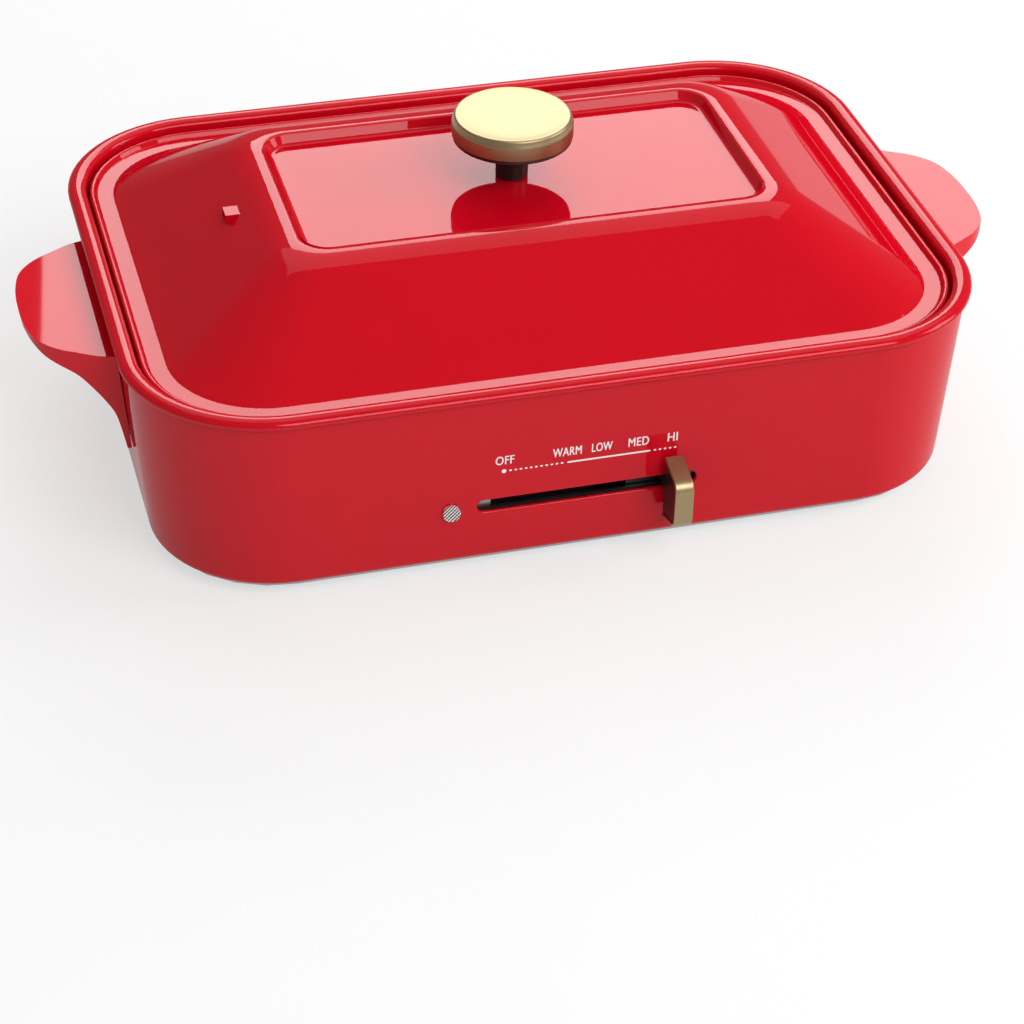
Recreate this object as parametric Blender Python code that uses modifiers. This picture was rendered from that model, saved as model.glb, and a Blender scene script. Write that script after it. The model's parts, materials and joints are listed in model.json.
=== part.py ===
"""Electric hot plate: a wide shallow heating base, a lift-out cooking plate and a lift-off lid.

Metres, +Z up, front towards -Y. The origin is on the table, under the middle of the whole cooker.
"""
import math

import bmesh
import bpy
from mathutils import Matrix, Vector

# Driving sizes of the outside
RIM_HALF_X = 0.1596
RIM_HALF_Y = 0.1133
RIM_CORNER = 0.0536
WALL_LEAN_X = 0.0074
WALL_LEAN_Y = 0.0046
BODY_HEIGHT = 0.0733
LID_RISE = 0.0278
LEVER_TRAVEL = 0.062
BASE_HALF_X = RIM_HALF_X - WALL_LEAN_X
BASE_HALF_Y = RIM_HALF_Y - WALL_LEAN_Y
BASE_CORNER = RIM_CORNER - WALL_LEAN_X

# Clearances shared by all pieces
GAP = 0.0003
HOLE_PLAY = 0.0003
SCREW_PLAY = 0.0004
SLOT_PLAY = 0.0008
OVERRUN = 0.004
SOCKET_OVERRUN = 0.001
WELD = 0.00001
LEAST_CORNER = 0.002

# Smoothness of round shapes, in counts
CORNER_STEPS = 6
FILLET_STEPS = 2
TURN_STEPS = 32
SMALL_TURN_STEPS = 12
ROUTE_STEPS = 3
TUBE_STEPS = 2
WIRE_STEPS = 1

# Feet and base plate
FOOT_HEIGHT = 0.0032
FOOT_RADIUS = 0.0082
FOOT_EDGE = 0.0008
FOOT_STUD_RADIUS = 0.003
FOOT_BARB_RADIUS = 0.0038
FOOT_BARB_HEIGHT = 0.0016
FOOT_FROM_SIDE = 0.034
FOOT_FROM_FRONT = 0.034
BASE_SHEET = 0.0012
BASE_PLATE_INSET = 0.0028
BASE_Z = FOOT_HEIGHT + GAP
BASE_TOP = BASE_Z + BASE_SHEET
VENT_LENGTH = 0.036
VENT_WIDTH = 0.004
VENT_PITCH = 0.012
VENT_ROWS = (-2, -1, 1, 2)
VENT_FROM_MIDDLE = 0.046

# Body shell
SHEET = 0.0012
BODY_Z = BASE_TOP + GAP
RIM_TOP = BODY_Z + BODY_HEIGHT
BOTTOM_ROUND = 0.003
LIP_WIDTH = 0.014
RIM_BEAD_WIDTH = 0.007
RIM_BEAD_HEIGHT = 0.0044
RIM_OVERHANG = 0.0019
RIM_UNDERSIDE = 0.0037
LEDGE_DEPTH = 0.0113
LEDGE_WIDTH = 0.0055
LEDGE_LIP = 0.003
LEDGE_ROUND = 0.0014
BEAD_FROM = math.radians(-40)
BEAD_STEPS = 5
WALL_TOP = RIM_TOP - RIM_UNDERSIDE
LEDGE_Z = RIM_TOP - LEDGE_DEPTH
LEDGE_INSET = RIM_BEAD_WIDTH + LEDGE_WIDTH

# Screws
SCREW_HEAD_RADIUS = 0.0032
SCREW_HEAD_HEIGHT = 0.002
SCREW_SHAFT_RADIUS = 0.0014
SCREW_DOME = 0.0006
BASE_SCREW_LENGTH = 0.0065
BASE_SCREW_FROM_SIDE = 0.0085
BASE_SCREW_FROM_MIDDLE = 0.05
HANDLE_SCREW_LENGTH = 0.0072
HANDLE_SCREW_FROM_MIDDLE = 0.022
HANDLE_SCREW_BELOW_TOP = 0.0115
TRAY_SCREW_LENGTH = 0.010

# Handles: shares of the reach out from the wall, of the half length and of the height
HANDLE_REACH = 0.0302
HANDLE_BELOW_RIM = 0.0107
HANDLE_HALF_LENGTH = 0.042
HANDLE_HEIGHT = 0.0401
HANDLE_EDGE = 0.0011
HANDLE_PLAN_SHARES = (
    (0, 1), (0.2, 0.955), (0.43, 0.862), (0.69, 0.74), (0.885, 0.56), (0.97, 0.33), (1, 0.1), (1, 0))
HANDLE_SWEEP_SHARES = (
    (1, 0), (0.99, 0.045), (0.918, 0.072), (0.804, 0.13), (0.62, 0.187), (0.467, 0.249), (0.331, 0.357),
    (0.212, 0.481), (0.122, 0.621), (0.082, 0.8), (0.053, 1))

# Cooking plate
PLATE_FLANGE = 0.003
PLATE_PLAY = 0.001
PLATE_FLANGE_WIDTH = 0.0075
PLATE_DEPTH = 0.0243
PLATE_FLOOR = 0.004
PLATE_WALL = 0.003
PLATE_DRAFT = 0.005
PLATE_INNER_ROUND = 0.009
PLATE_OUTER_ROUND = 0.006
PLATE_EDGE = 0.0008
PLATE_SHOULDER = 0.0028
FIN_THICKNESS = 0.0016
FIN_HEIGHT = 0.0062
FIN_LENGTH = 0.0085
FIN_ROOT = 0.0012
FIN_TIP = 0.0012
FIN_SET_BACK = 0.0018
FIN_FROM_MIDDLE = 0.08
PLATE_Z = LEDGE_Z + GAP
PLATE_TOP = PLATE_Z + PLATE_FLANGE
PLATE_SURFACE = PLATE_TOP - PLATE_DEPTH
PLATE_UNDERSIDE = PLATE_SURFACE - PLATE_FLOOR
PLATE_OUTER_INSET = RIM_BEAD_WIDTH + PLATE_PLAY
PLATE_MOUTH_INSET = PLATE_OUTER_INSET + PLATE_FLANGE_WIDTH

# Lid
LID_SHEET = 0.00115
LID_PLAY = 0.0012
LID_SKIRT = 0.0044
LID_BEAD_WIDTH = 0.0022
LID_BEAD_ROUND = 0.001
GUTTER_DROP = 0.0018
GUTTER_EDGE = 0.0006
GUTTER_WIDTH = 0.0069
GUTTER_STEP = 0.001
GUTTER_STEP_WIDTH = 0.0012
PANEL_HALF_X = 0.0896
PANEL_HALF_Y = 0.0448
PANEL_CORNER = 0.0127
SHOULDER_RADIUS = 0.021
SHOULDER_STEPS = 4
PANEL_RECESS = 0.00365
PANEL_SLOPE = math.radians(50)
PANEL_ROUND = 0.0026
PANEL_STEPS = 2
LID_Z = PLATE_TOP + GAP
LID_OUTER_INSET = RIM_BEAD_WIDTH + LID_PLAY
LID_BEAD_TOP = LID_Z + LID_SKIRT
GUTTER_Z = LID_BEAD_TOP - GUTTER_DROP
GUTTER_START = LID_OUTER_INSET + LID_BEAD_WIDTH + GUTTER_EDGE
GUTTER_END = GUTTER_START + GUTTER_WIDTH
SLOPE_START = GUTTER_END + GUTTER_STEP_WIDTH
SLOPE_Z = GUTTER_Z + GUTTER_STEP
RIDGE_Z = LID_BEAD_TOP + LID_RISE
PANEL_Z = RIDGE_Z - PANEL_RECESS
STEAM_HOOD_LENGTH = 0.0056
STEAM_HOOD_WIDTH = 0.0064
STEAM_HOOD_FROM_RIDGE = 0.0145
STEAM_HOLE_WIDTH = 0.004
STEAM_HOLE_HEIGHT = 0.0014
STEAM_HOOD_ROOF = 0.0009

# Knob
STEM_RADIUS = 0.0061
STEM_HEIGHT = 0.01535
SPIGOT_RADIUS = 0.004
SPIGOT_HEIGHT = 0.0052
KNOB_BORE_RADIUS = 0.0022
KNOB_BORE_DEPTH = 0.0135
RING_RADIUS = 0.0223
RING_THICKNESS = 0.001
CAP_RADIUS = 0.0227
CAP_HEIGHT = 0.0081
CAP_TOP_RADIUS = 0.022
CAP_CROWN_HEIGHT = 0.0026
CAP_DISH = 0.0004
CAP_DISH_RADIUS = 0.0185
CAP_EDGE = 0.0005
CAP_ROOF = 0.0042
WASHER_RADIUS = 0.0062
WASHER_THICKNESS = 0.001
KNOB_SCREW_RADIUS = 0.0019
KNOB_SCREW_HEAD_RADIUS = 0.0042
KNOB_SCREW_HEAD_HEIGHT = 0.0022
KNOB_SCREW_LENGTH = 0.0135
STEM_Z = PANEL_Z + GAP
RING_Z = STEM_Z + STEM_HEIGHT + GAP
CAP_Z = RING_Z + RING_THICKNESS + GAP

# Lever, cam slide and thermostat
SLOT_HEIGHT = 0.006
SLOT_ABOVE_BODY = 0.0234
SLOT_PAST_TRAVEL = 0.01
LEVER_WIDTH = 0.007
LEVER_BAND = 0.0013
LEVER_START = 0.002
LEVER_REACH = 0.0174
LEVER_BACK_HALF = 0.0126
LEVER_FRONT_HALF = 0.00875
LEVER_ROUND = 0.0025
LEVER_CORE_RECESS = 0.0004
NECK_HEIGHT = 0.0044
RAIL_FROM_WALL = 0.0028
RAIL_PAST_SLOT = 0.003
RAIL_HEIGHT = 0.0305
BRACKET_SHEET = 0.0012
BRACKET_ROUND = 0.0015
BRACKET_DEPTH = 0.0192
BRACKET_REAR_HEIGHT = 0.026
CAM_FROM_RAIL = 0.0008
CAM_THIN = 0.0045
CAM_HEIGHT = 0.0134
CAM_SOCKET_DEPTH = 0.0024
CAM_END = 0.006
PLUNGER_X = 0.022
PLUNGER_TRAVEL = 0.004
PLUNGER_RADIUS = 0.002
PLUNGER_PLAY = 0.0005
PLUNGER_IN_THERMOSTAT = 0.0125
PLUNGER_BELOW_SLOT = 0.0042
THERMOSTAT_HALF_WIDTH = 0.015
THERMOSTAT_DEPTH = 0.02
THERMOSTAT_HEIGHT = 0.0165
THERMOSTAT_ABOVE_PLUNGER = 0.0026
THERMOSTAT_BORE_DEPTH = 0.0175
SLOT_Z = BODY_Z + SLOT_ABOVE_BODY
SLOT_HALF_LENGTH = LEVER_TRAVEL / 2 + SLOT_PAST_TRAVEL
RAIL_HALF_LENGTH = SLOT_HALF_LENGTH + RAIL_PAST_SLOT
LEVER_X = LEVER_TRAVEL / 2
PLUNGER_Z = SLOT_Z - PLUNGER_BELOW_SLOT

# Pilot lamp
LAMP_FROM_SLOT = 0.0097
LAMP_BELOW_SLOT = 0.0003
LAMP_FLANGE_RADIUS = 0.0032
LAMP_FLANGE = 0.0006
LAMP_DOME = 0.0007
LAMP_BARREL_RADIUS = 0.0025
LAMP_BARREL_LENGTH = 0.0052
LAMP_STEPS = 12
HOLDER_RADIUS = 0.0045
HOLDER_WALL = 0.0012
HOLDER_LENGTH = 0.0155
NEON_RADIUS = 0.0019
NEON_LENGTH = 0.0075
LAMP_X = -SLOT_HALF_LENGTH - LAMP_FROM_SLOT
LAMP_Z = SLOT_Z - LAMP_BELOW_SLOT

# Reflector tray and its posts
TRAY_SHEET = 0.0008
TRAY_BELOW_PLATE = 0.0135
TRAY_FROM_WALL_X = 0.0342
TRAY_FROM_WALL_Y = 0.0427
TRAY_CORNER = 0.03
TRAY_FLARE = 0.009
TRAY_WALL = 0.0105
TRAY_FLANGE = 0.003
TRAY_ROUND = 0.003
POST_RADIUS = 0.004
POST_BORE_RADIUS = 0.0017
POST_BORE_DEPTH = 0.0105
POST_SPIGOT_RADIUS = 0.002
POST_SPIGOT_LENGTH = 0.0016
POST_FROM_TRAY_X = 0.038
POST_FROM_TRAY_Y = 0.036
TRAY_HALF_X = BASE_HALF_X - TRAY_FROM_WALL_X
TRAY_HALF_Y = BASE_HALF_Y - TRAY_FROM_WALL_Y
POST_X = TRAY_HALF_X - POST_FROM_TRAY_X
POST_Y = TRAY_HALF_Y - POST_FROM_TRAY_Y
TRAY_TOP = PLATE_UNDERSIDE - TRAY_BELOW_PLATE
TRAY_BOTTOM = TRAY_TOP - TRAY_SHEET

# Heater
HEATER_RADIUS = 0.0033
HEATER_ABOVE_TRAY = 0.0073
HEATER_FROM_TRAY_X = 0.013
HEATER_FROM_TRAY_Y = 0.014
HEATER_CORNER = 0.028
HEATER_END_Y = 0.01
HEATER_END_DROP = 0.0215
HEATER_END_BEND = 0.006
HEATER_HOLE_PLAY = 0.002
CLIP_WIDTH = 0.007
CLIP_SHEET = 0.0007
CLIP_FOOT = 0.0055
CLIP_BEND = 0.0008
CLIP_FROM_BEND = 0.045
HEATER_HALF_X = TRAY_HALF_X - HEATER_FROM_TRAY_X
HEATER_HALF_Y = TRAY_HALF_Y - HEATER_FROM_TRAY_Y
CLIP_X = HEATER_HALF_X - CLIP_FROM_BEND
HEATER_Z = TRAY_TOP + HEATER_ABOVE_TRAY

# Power inlet at the back
INLET_X = 0.07
INLET_HALF_X = 0.02
INLET_HALF_Z = 0.01
INLET_FLANGE = 0.003
INLET_FLANGE_THICKNESS = 0.0014
INLET_DEPTH = 0.0215
INLET_WALL = 0.003
INLET_CORNER = 0.004
INLET_PIN_RADIUS = 0.002
INLET_PIN_PITCH = 0.013
INLET_PIN_LENGTH = 0.017
INLET_PIN_BEHIND = 0.004
INLET_CONTACT_X = 0.0045
INLET_CONTACT_Z = 0.0032
INLET_CONTACT_THICKNESS = 0.0016
INLET_CONTACT_FROM_MIDDLE = 0.0128
INLET_Z = SLOT_Z

# Terminal block, fuse and wires
TERMINAL_HALF_X = 0.014
TERMINAL_HALF_Y = 0.007
TERMINAL_HEIGHT = 0.0105
TERMINAL_X = 0.05
TERMINAL_FROM_REAR = 0.0367
TERMINAL_PITCH = 0.012
FUSE_RADIUS = 0.0028
FUSE_LENGTH = 0.016
FUSE_X = 0.072
FUSE_FROM_FRONT = 0.0567
WIRE_RADIUS = 0.0012
WIRE_ABOVE_BASE = 0.0045
WIRE_CLEARANCE = 0.0035
WIRE_STUB = 0.007
WIRE_MIDWAY = 0.5
WIRE_BEND_AT = 0.3
TERMINAL_Y = BASE_HALF_Y - TERMINAL_FROM_REAR
FUSE_Y = -BASE_HALF_Y + FUSE_FROM_FRONT
WIRE_Z = BASE_TOP + WIRE_ABOVE_BASE

X_AXIS = Vector((1, 0, 0))
Y_AXIS = Vector((0, 1, 0))
Z_AXIS = Vector((0, 0, 1))


def clear_scene():
    for old in list(bpy.data.objects):
        bpy.data.objects.remove(old, do_unlink=True)


def new_collection(name):
    group = bpy.data.collections.new(name)
    bpy.context.scene.collection.children.link(group)
    return group


def finish(name, color, roughness, metallic=0.0):
    made = bpy.data.materials.new(name)
    made.use_nodes = True
    shader = made.node_tree.nodes["Principled BSDF"]
    shader.inputs["Base Color"].default_value = (*color, 1)
    shader.inputs["Roughness"].default_value = roughness
    shader.inputs["Metallic"].default_value = metallic
    return made


clear_scene()
PARTS = new_collection("electric_hot_plate")
CUTTERS = new_collection("cutters")

RED_PAINT = finish("red_paint", (0.52, 0.004, 0.012), 0.16)
GOLD_SATIN = finish("gold_satin", (0.72, 0.52, 0.27), 0.34, 1.0)
BLACK_PLASTIC = finish("black_plastic", (0.012, 0.012, 0.013), 0.4)
BLACK_COATING = finish("black_coating", (0.016, 0.016, 0.017), 0.5)
STEEL = finish("steel", (0.55, 0.55, 0.56), 0.35, 1.0)
ALUMINIUM = finish("aluminium", (0.75, 0.75, 0.76), 0.3, 1.0)
BRASS = finish("brass", (0.7, 0.5, 0.2), 0.3, 1.0)
RUBBER = finish("rubber", (0.02, 0.02, 0.02), 0.8)
CLEAR_PLASTIC = finish("clear_plastic", (0.8, 0.8, 0.82), 0.1)
WHITE_PLASTIC = finish("white_plastic", (0.75, 0.74, 0.7), 0.5)
WIRE_SLEEVE = finish("wire_sleeve", (0.7, 0.7, 0.68), 0.6)


# Shape helpers
def rounded(corners, closed=False, steps=FILLET_STEPS):
    """A path through corners given as (point, radius), with an arc at each corner."""
    path = []
    last = len(corners) - 1
    for index, (place, radius) in enumerate(corners):
        corner = Vector(place)
        if not radius or (not closed and index in (0, last)):
            path.append(corner)
            continue
        before = (Vector(corners[index - 1][0]) - corner).normalized()
        after = (Vector(corners[(index + 1) % len(corners)][0]) - corner).normalized()
        half = before.angle(after) / 2
        middle = corner + (before + after).normalized() * radius / math.sin(half)
        spoke = corner + before * radius / math.tan(half) - middle
        for step in range(steps + 1):
            swing = (math.pi - 2 * half) * step / steps
            path.append(middle + spoke * math.cos(swing) - before * radius * math.sin(swing))
    return path


def smooth_route(points, steps=ROUTE_STEPS):
    """A smooth curve through the points, without overshoot beside short stretches."""
    route = [Vector(point) for point in points]
    padded = [2 * route[0] - route[1], *route, 2 * route[-1] - route[-2]]
    path = []
    for a, b, c, d in zip(padded, padded[1:], padded[2:], padded[3:]):
        length = (c - b).length
        leave = (c - a).normalized() * length
        arrive = (d - b).normalized() * length
        for step in range(steps):
            t = step / steps
            ease = t * t * (3 - 2 * t)
            path.append(b + (c - b) * ease + leave * t * (1 - t) ** 2 - arrive * t * t * (1 - t))
    path.append(route[-1])
    return path


def mix(a, b, share):
    return a + (b - a) * share


def outline(half_x, half_y, corner, z):
    """Rounded rectangle at height z, anticlockwise seen from above."""
    corner = max(corner, LEAST_CORNER)
    ring = []
    for side_x, side_y, quarter in ((1, 1, 0), (-1, 1, 1), (-1, -1, 2), (1, -1, 3)):
        middle = Vector((side_x * (half_x - corner), side_y * (half_y - corner), z))
        for step in range(CORNER_STEPS + 1):
            angle = math.pi / 2 * (quarter + step / CORNER_STEPS)
            ring.append(middle + corner * Vector((math.cos(angle), math.sin(angle), 0)))
    return ring


def wall_sizes(z):
    """Half sizes and corner of the sloping wall's outside at height z."""
    share = (z - BODY_Z) / (WALL_TOP - BODY_Z)
    half_x = mix(BASE_HALF_X, RIM_HALF_X - RIM_OVERHANG, share)
    half_y = mix(BASE_HALF_Y, RIM_HALF_Y - RIM_OVERHANG, share)
    corner = mix(BASE_CORNER, RIM_CORNER - RIM_OVERHANG, share)
    return half_x, half_y, corner


def wall_ring(inset, z):
    half_x, half_y, corner = wall_sizes(z)
    return outline(half_x - inset, half_y - inset, corner - inset, z)


def rim_ring(inset, z):
    return outline(RIM_HALF_X - inset, RIM_HALF_Y - inset, RIM_CORNER - inset, z)


def lid_ring(inset, z):
    """Level ring of the lid, which turns from the rim's shape into the panel's up the slope."""
    share = (inset - SLOPE_START) / (RIM_HALF_X - PANEL_HALF_X - SLOPE_START)
    if share <= 0:
        return rim_ring(inset, z)
    half_x = mix(RIM_HALF_X - SLOPE_START, PANEL_HALF_X, share)
    half_y = mix(RIM_HALF_Y - SLOPE_START, PANEL_HALF_Y, share)
    corner = mix(RIM_CORNER - SLOPE_START, PANEL_CORNER, share)
    return outline(half_x, half_y, corner, z)


def panel_ring(inset, z):
    return outline(PANEL_HALF_X - inset, PANEL_HALF_Y - inset, PANEL_CORNER - inset, z)


def facing(right, up):
    """Rotation that lays a flat outline's own two directions along the given ones."""
    return Matrix((right, up, right.cross(up))).transposed().to_euler()


# Object helpers
def add(name, data, surface=None, place=(0, 0, 0), turn=(0, 0, 0), group=None):
    piece = bpy.data.objects.new(name, data)
    (group or PARTS).objects.link(piece)
    piece.location = place
    piece.rotation_euler = turn
    if surface:
        data.materials.append(surface)
    return piece


def from_bmesh(name, shape, surface=None, place=(0, 0, 0), turn=(0, 0, 0), group=None):
    mesh = bpy.data.meshes.new(name)
    shape.to_mesh(mesh)
    shape.free()
    mesh.shade_smooth()
    mesh.set_sharp_from_angle(angle=math.radians(32))
    return add(name, mesh, surface, place, turn, group)


def loft(name, rings, surface, first_cap=False, last_cap=False):
    """Skin over rings of like points; rings run up the outside, over and down the inside."""
    shape = bmesh.new()
    rows = [[shape.verts.new(point) for point in ring] for ring in rings]
    for low, high in zip(rows, rows[1:]):
        for index, corner in enumerate(low):
            after = (index + 1) % len(low)
            shape.faces.new((corner, low[after], high[after], high[index]))
    if first_cap:
        shape.faces.new(list(reversed(rows[0])))
    if last_cap:
        shape.faces.new(rows[-1])
    return from_bmesh(name, shape, surface)


def thicken(piece, thickness, offset=-1):
    shell = piece.modifiers.new("Sheet", "SOLIDIFY")
    shell.thickness = thickness
    shell.offset = offset
    shell.use_even_offset = True
    return piece


def strip(name, path, width, thickness, surface, place, turn, offset=0):
    """Bent sheet strip: a path in its own plane, widened to both sides and thickened."""
    shape = bmesh.new()
    near = [shape.verts.new((a, b, -width / 2)) for a, b in path]
    far = [shape.verts.new((a, b, width / 2)) for a, b in path]
    for index in range(len(path) - 1):
        shape.faces.new((near[index], near[index + 1], far[index + 1], far[index]))
    return thicken(from_bmesh(name, shape, surface, place, turn), thickness, offset)


def flat(name, points, thickness, surface=None, place=(0, 0, 0), turn=(0, 0, 0), group=None):
    """Solid plate with the given outline, centred on its own plane."""
    line = bpy.data.curves.new(name, "CURVE")
    line.dimensions = "2D"
    line.fill_mode = "BOTH"
    line.extrude = thickness / 2
    spline = line.splines.new("POLY")
    spline.points.add(len(points) - 1)
    for knot, point in zip(spline.points, points):
        knot.co = (point[0], point[1], 0, 1)
    spline.use_cyclic_u = True
    drawn = add(name + "_outline", line)
    bpy.context.view_layer.update()
    graph = bpy.context.evaluated_depsgraph_get()
    mesh = bpy.data.meshes.new_from_object(drawn.evaluated_get(graph))
    bpy.data.objects.remove(drawn, do_unlink=True)
    bpy.data.curves.remove(line)
    mesh.name = name
    shape = bmesh.new()
    shape.from_mesh(mesh)
    bmesh.ops.remove_doubles(shape, verts=shape.verts, dist=WELD)
    bmesh.ops.recalc_face_normals(shape, faces=shape.faces)
    shape.to_mesh(mesh)
    shape.free()
    return add(name, mesh, surface, place, turn, group)


def box(name, low, high, surface=None, group=None):
    low = Vector(low)
    high = Vector(high)
    shape = bmesh.new()
    bmesh.ops.create_cube(shape, size=1, matrix=Matrix.Diagonal((*(high - low), 1)))
    return from_bmesh(name, shape, surface, (low + high) / 2, group=group)


def rod(name, radius, start, end, surface=None, group=None, segments=SMALL_TURN_STEPS):
    start = Vector(start)
    end = Vector(end)
    length = (end - start).length
    shape = bmesh.new()
    bmesh.ops.create_cone(
        shape, cap_ends=True, segments=segments, radius1=radius, radius2=radius, depth=length)
    turn = (end - start).to_track_quat("Z", "Y").to_euler()
    return from_bmesh(name, shape, surface, (start + end) / 2, turn, group)


def turned(name, profile, surface, place, turn=(0, 0, 0), steps=SMALL_TURN_STEPS, ring=False):
    """Turned piece; its profile of (radius, height) runs down the outer side."""
    count = len(profile)
    edges = [(index, index + 1) for index in range(count - 1)]
    if ring:
        edges.append((count - 1, 0))
    mesh = bpy.data.meshes.new(name)
    mesh.from_pydata([(radius, 0, height) for radius, height in profile], edges, [])
    piece = add(name, mesh, surface, place, turn)
    lathe = piece.modifiers.new("Turn", "SCREW")
    lathe.steps = steps
    lathe.render_steps = steps
    lathe.use_merge_vertices = True
    lathe.merge_threshold = WELD
    lathe.use_smooth_shade = True
    return piece


def tube(name, points, radius, surface, steps=TUBE_STEPS):
    line = bpy.data.curves.new(name, "CURVE")
    line.dimensions = "3D"
    line.bevel_depth = radius
    line.bevel_resolution = steps
    line.use_fill_caps = True
    spline = line.splines.new("POLY")
    spline.points.add(len(points) - 1)
    for knot, point in zip(spline.points, points):
        knot.co = (*point, 1)
    return add(name, line, surface)


def combine(target, tool, operation):
    """Boolean with a tool, which becomes a hidden cutter."""
    for group in list(tool.users_collection):
        group.objects.unlink(tool)
    CUTTERS.objects.link(tool)
    tool.hide_render = True
    tool.display_type = "WIRE"
    tool.parent = ROOT
    step = target.modifiers.new(tool.name, "BOOLEAN")
    step.operation = operation
    step.solver = "EXACT"
    step.object = tool


def cut(target, tool):
    combine(target, tool, "DIFFERENCE")


def join(target, tool):
    combine(target, tool, "UNION")


def carrier(name, place, parent=None):
    """Empty that carries the pieces of one body, on its axis of motion."""
    empty = bpy.data.objects.new(name, None)
    PARTS.objects.link(empty)
    empty.parent = parent
    empty.location = place
    return empty


def hang(body, *pieces):
    for piece in pieces:
        piece.parent = body
        if body is not ROOT:
            piece.location -= body.location


def screw(name, head_radius, head_height, shaft_radius, shaft_length, place, turn=(0, 0, 0)):
    """Domed screw whose shaft points up its own Z from the head's flat seat at the place."""
    profile = [
        (0, shaft_length),
        (shaft_radius, shaft_length),
        (shaft_radius, 0),
        (head_radius, 0),
        (head_radius, -head_height + SCREW_DOME),
        (head_radius - SCREW_DOME, -head_height),
        (0, -head_height),
    ]
    return turned(name, profile, STEEL, place, turn)


# Base plate and feet
def foot_places():
    x = BASE_HALF_X - FOOT_FROM_SIDE
    y = BASE_HALF_Y - FOOT_FROM_FRONT
    return {"front_left": (-x, -y), "front_right": (x, -y), "rear_left": (-x, y), "rear_right": (x, y)}


def base_screw_places():
    x = BASE_HALF_X - BASE_SCREW_FROM_SIDE
    y = BASE_SCREW_FROM_MIDDLE
    return {"front_left": (-x, -y), "front_right": (x, -y), "rear_left": (-x, y), "rear_right": (x, y)}


def post_places():
    x = POST_X
    y = POST_Y
    return {"front_left": (-x, -y), "front_right": (x, -y), "rear_left": (-x, y), "rear_right": (x, y)}


def base_ring(z):
    inset = BASE_PLATE_INSET
    return outline(BASE_HALF_X - inset, BASE_HALF_Y - inset, BASE_CORNER - inset, z)


def base_plate():
    plate = loft("base_plate", [base_ring(BASE_Z), base_ring(BASE_TOP)], STEEL, first_cap=True, last_cap=True)
    low = BASE_Z - OVERRUN
    high = BASE_TOP + OVERRUN
    holes = [
        (foot_places(), FOOT_STUD_RADIUS + HOLE_PLAY, "foot_hole"),
        (base_screw_places(), SCREW_SHAFT_RADIUS + SCREW_PLAY, "base_screw_hole"),
        (post_places(), POST_SPIGOT_RADIUS + HOLE_PLAY, "post_hole"),
    ]
    for places, radius, label in holes:
        for corner, (x, y) in places.items():
            cut(plate, rod(f"{label}_{corner}", radius, (x, y, low), (x, y, high)))
    for row in VENT_ROWS:
        for side in (-1, 1):
            x = side * VENT_FROM_MIDDLE
            y = row * VENT_PITCH
            vent = box(
                f"vent_{row}_{side}", (x - VENT_LENGTH / 2, y - VENT_WIDTH / 2, low),
                (x + VENT_LENGTH / 2, y + VENT_WIDTH / 2, high))
            cut(plate, vent)
    hang(ROOT, plate)


def feet():
    profile = [
        (0, BASE_TOP + GAP + FOOT_BARB_HEIGHT),
        (FOOT_STUD_RADIUS, BASE_TOP + GAP + FOOT_BARB_HEIGHT),
        (FOOT_BARB_RADIUS, BASE_TOP + GAP),
        (FOOT_STUD_RADIUS, BASE_TOP + GAP),
        (FOOT_STUD_RADIUS, FOOT_HEIGHT),
        (FOOT_RADIUS, FOOT_HEIGHT),
        (FOOT_RADIUS - FOOT_EDGE, 0),
        (0, 0),
    ]
    for corner, (x, y) in foot_places().items():
        hang(ROOT, turned(f"foot_{corner}", profile, RUBBER, (x, y, 0)))


def base_screws():
    for corner, (x, y) in base_screw_places().items():
        piece = screw(
            f"base_screw_{corner}", SCREW_HEAD_RADIUS, SCREW_HEAD_HEIGHT, SCREW_SHAFT_RADIUS,
            BASE_SCREW_LENGTH, (x, y, BASE_Z - GAP))
        hang(ROOT, piece)


# Body shell with its handles
def body_shell():
    wall = rounded([((LIP_WIDTH, BODY_Z), 0), ((0, BODY_Z), BOTTOM_ROUND), ((0, WALL_TOP), 0)])
    bead_half = RIM_BEAD_WIDTH / 2
    bead_rise = RIM_BEAD_HEIGHT / 2
    bead_z = RIM_TOP - bead_rise
    bead = []
    for step in range(BEAD_STEPS + 1):
        angle = mix(BEAD_FROM, math.pi, step / BEAD_STEPS)
        bead.append((bead_half - bead_half * math.cos(angle), bead_z + bead_rise * math.sin(angle)))
    seat = rounded([
        ((RIM_BEAD_WIDTH, bead_z), 0),
        ((RIM_BEAD_WIDTH, LEDGE_Z), LEDGE_ROUND),
        ((LEDGE_INSET, LEDGE_Z), LEDGE_ROUND),
        ((LEDGE_INSET, LEDGE_Z - LEDGE_LIP), 0),
    ])
    rings = [wall_ring(inset, z) for inset, z in wall]
    rings += [rim_ring(inset, z) for inset, z in bead + seat[1:]]
    shell = thicken(loft("body_shell", rings, RED_PAINT), SHEET)
    cut_front(shell)
    cut_sides_and_floor(shell)
    cut_back(shell)
    hang(ROOT, shell)


def stadium(half_length, half_height):
    corners = [
        ((-half_length, -half_height), half_height),
        ((half_length, -half_height), half_height),
        ((half_length, half_height), half_height),
        ((-half_length, half_height), half_height),
    ]
    return rounded(corners, closed=True)


def cut_front(shell):
    face = wall_sizes(SLOT_Z)[1]
    slot = flat(
        "lever_slot", stadium(SLOT_HALF_LENGTH, SLOT_HEIGHT / 2), 2 * OVERRUN,
        place=(0, -face, SLOT_Z), turn=facing(X_AXIS, Z_AXIS))
    cut(shell, slot)
    bore = LAMP_BARREL_RADIUS + HOLE_PLAY
    lamp = rod("lamp_hole", bore, (LAMP_X, -face - OVERRUN, LAMP_Z), (LAMP_X, -face + OVERRUN, LAMP_Z))
    cut(shell, lamp)


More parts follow.
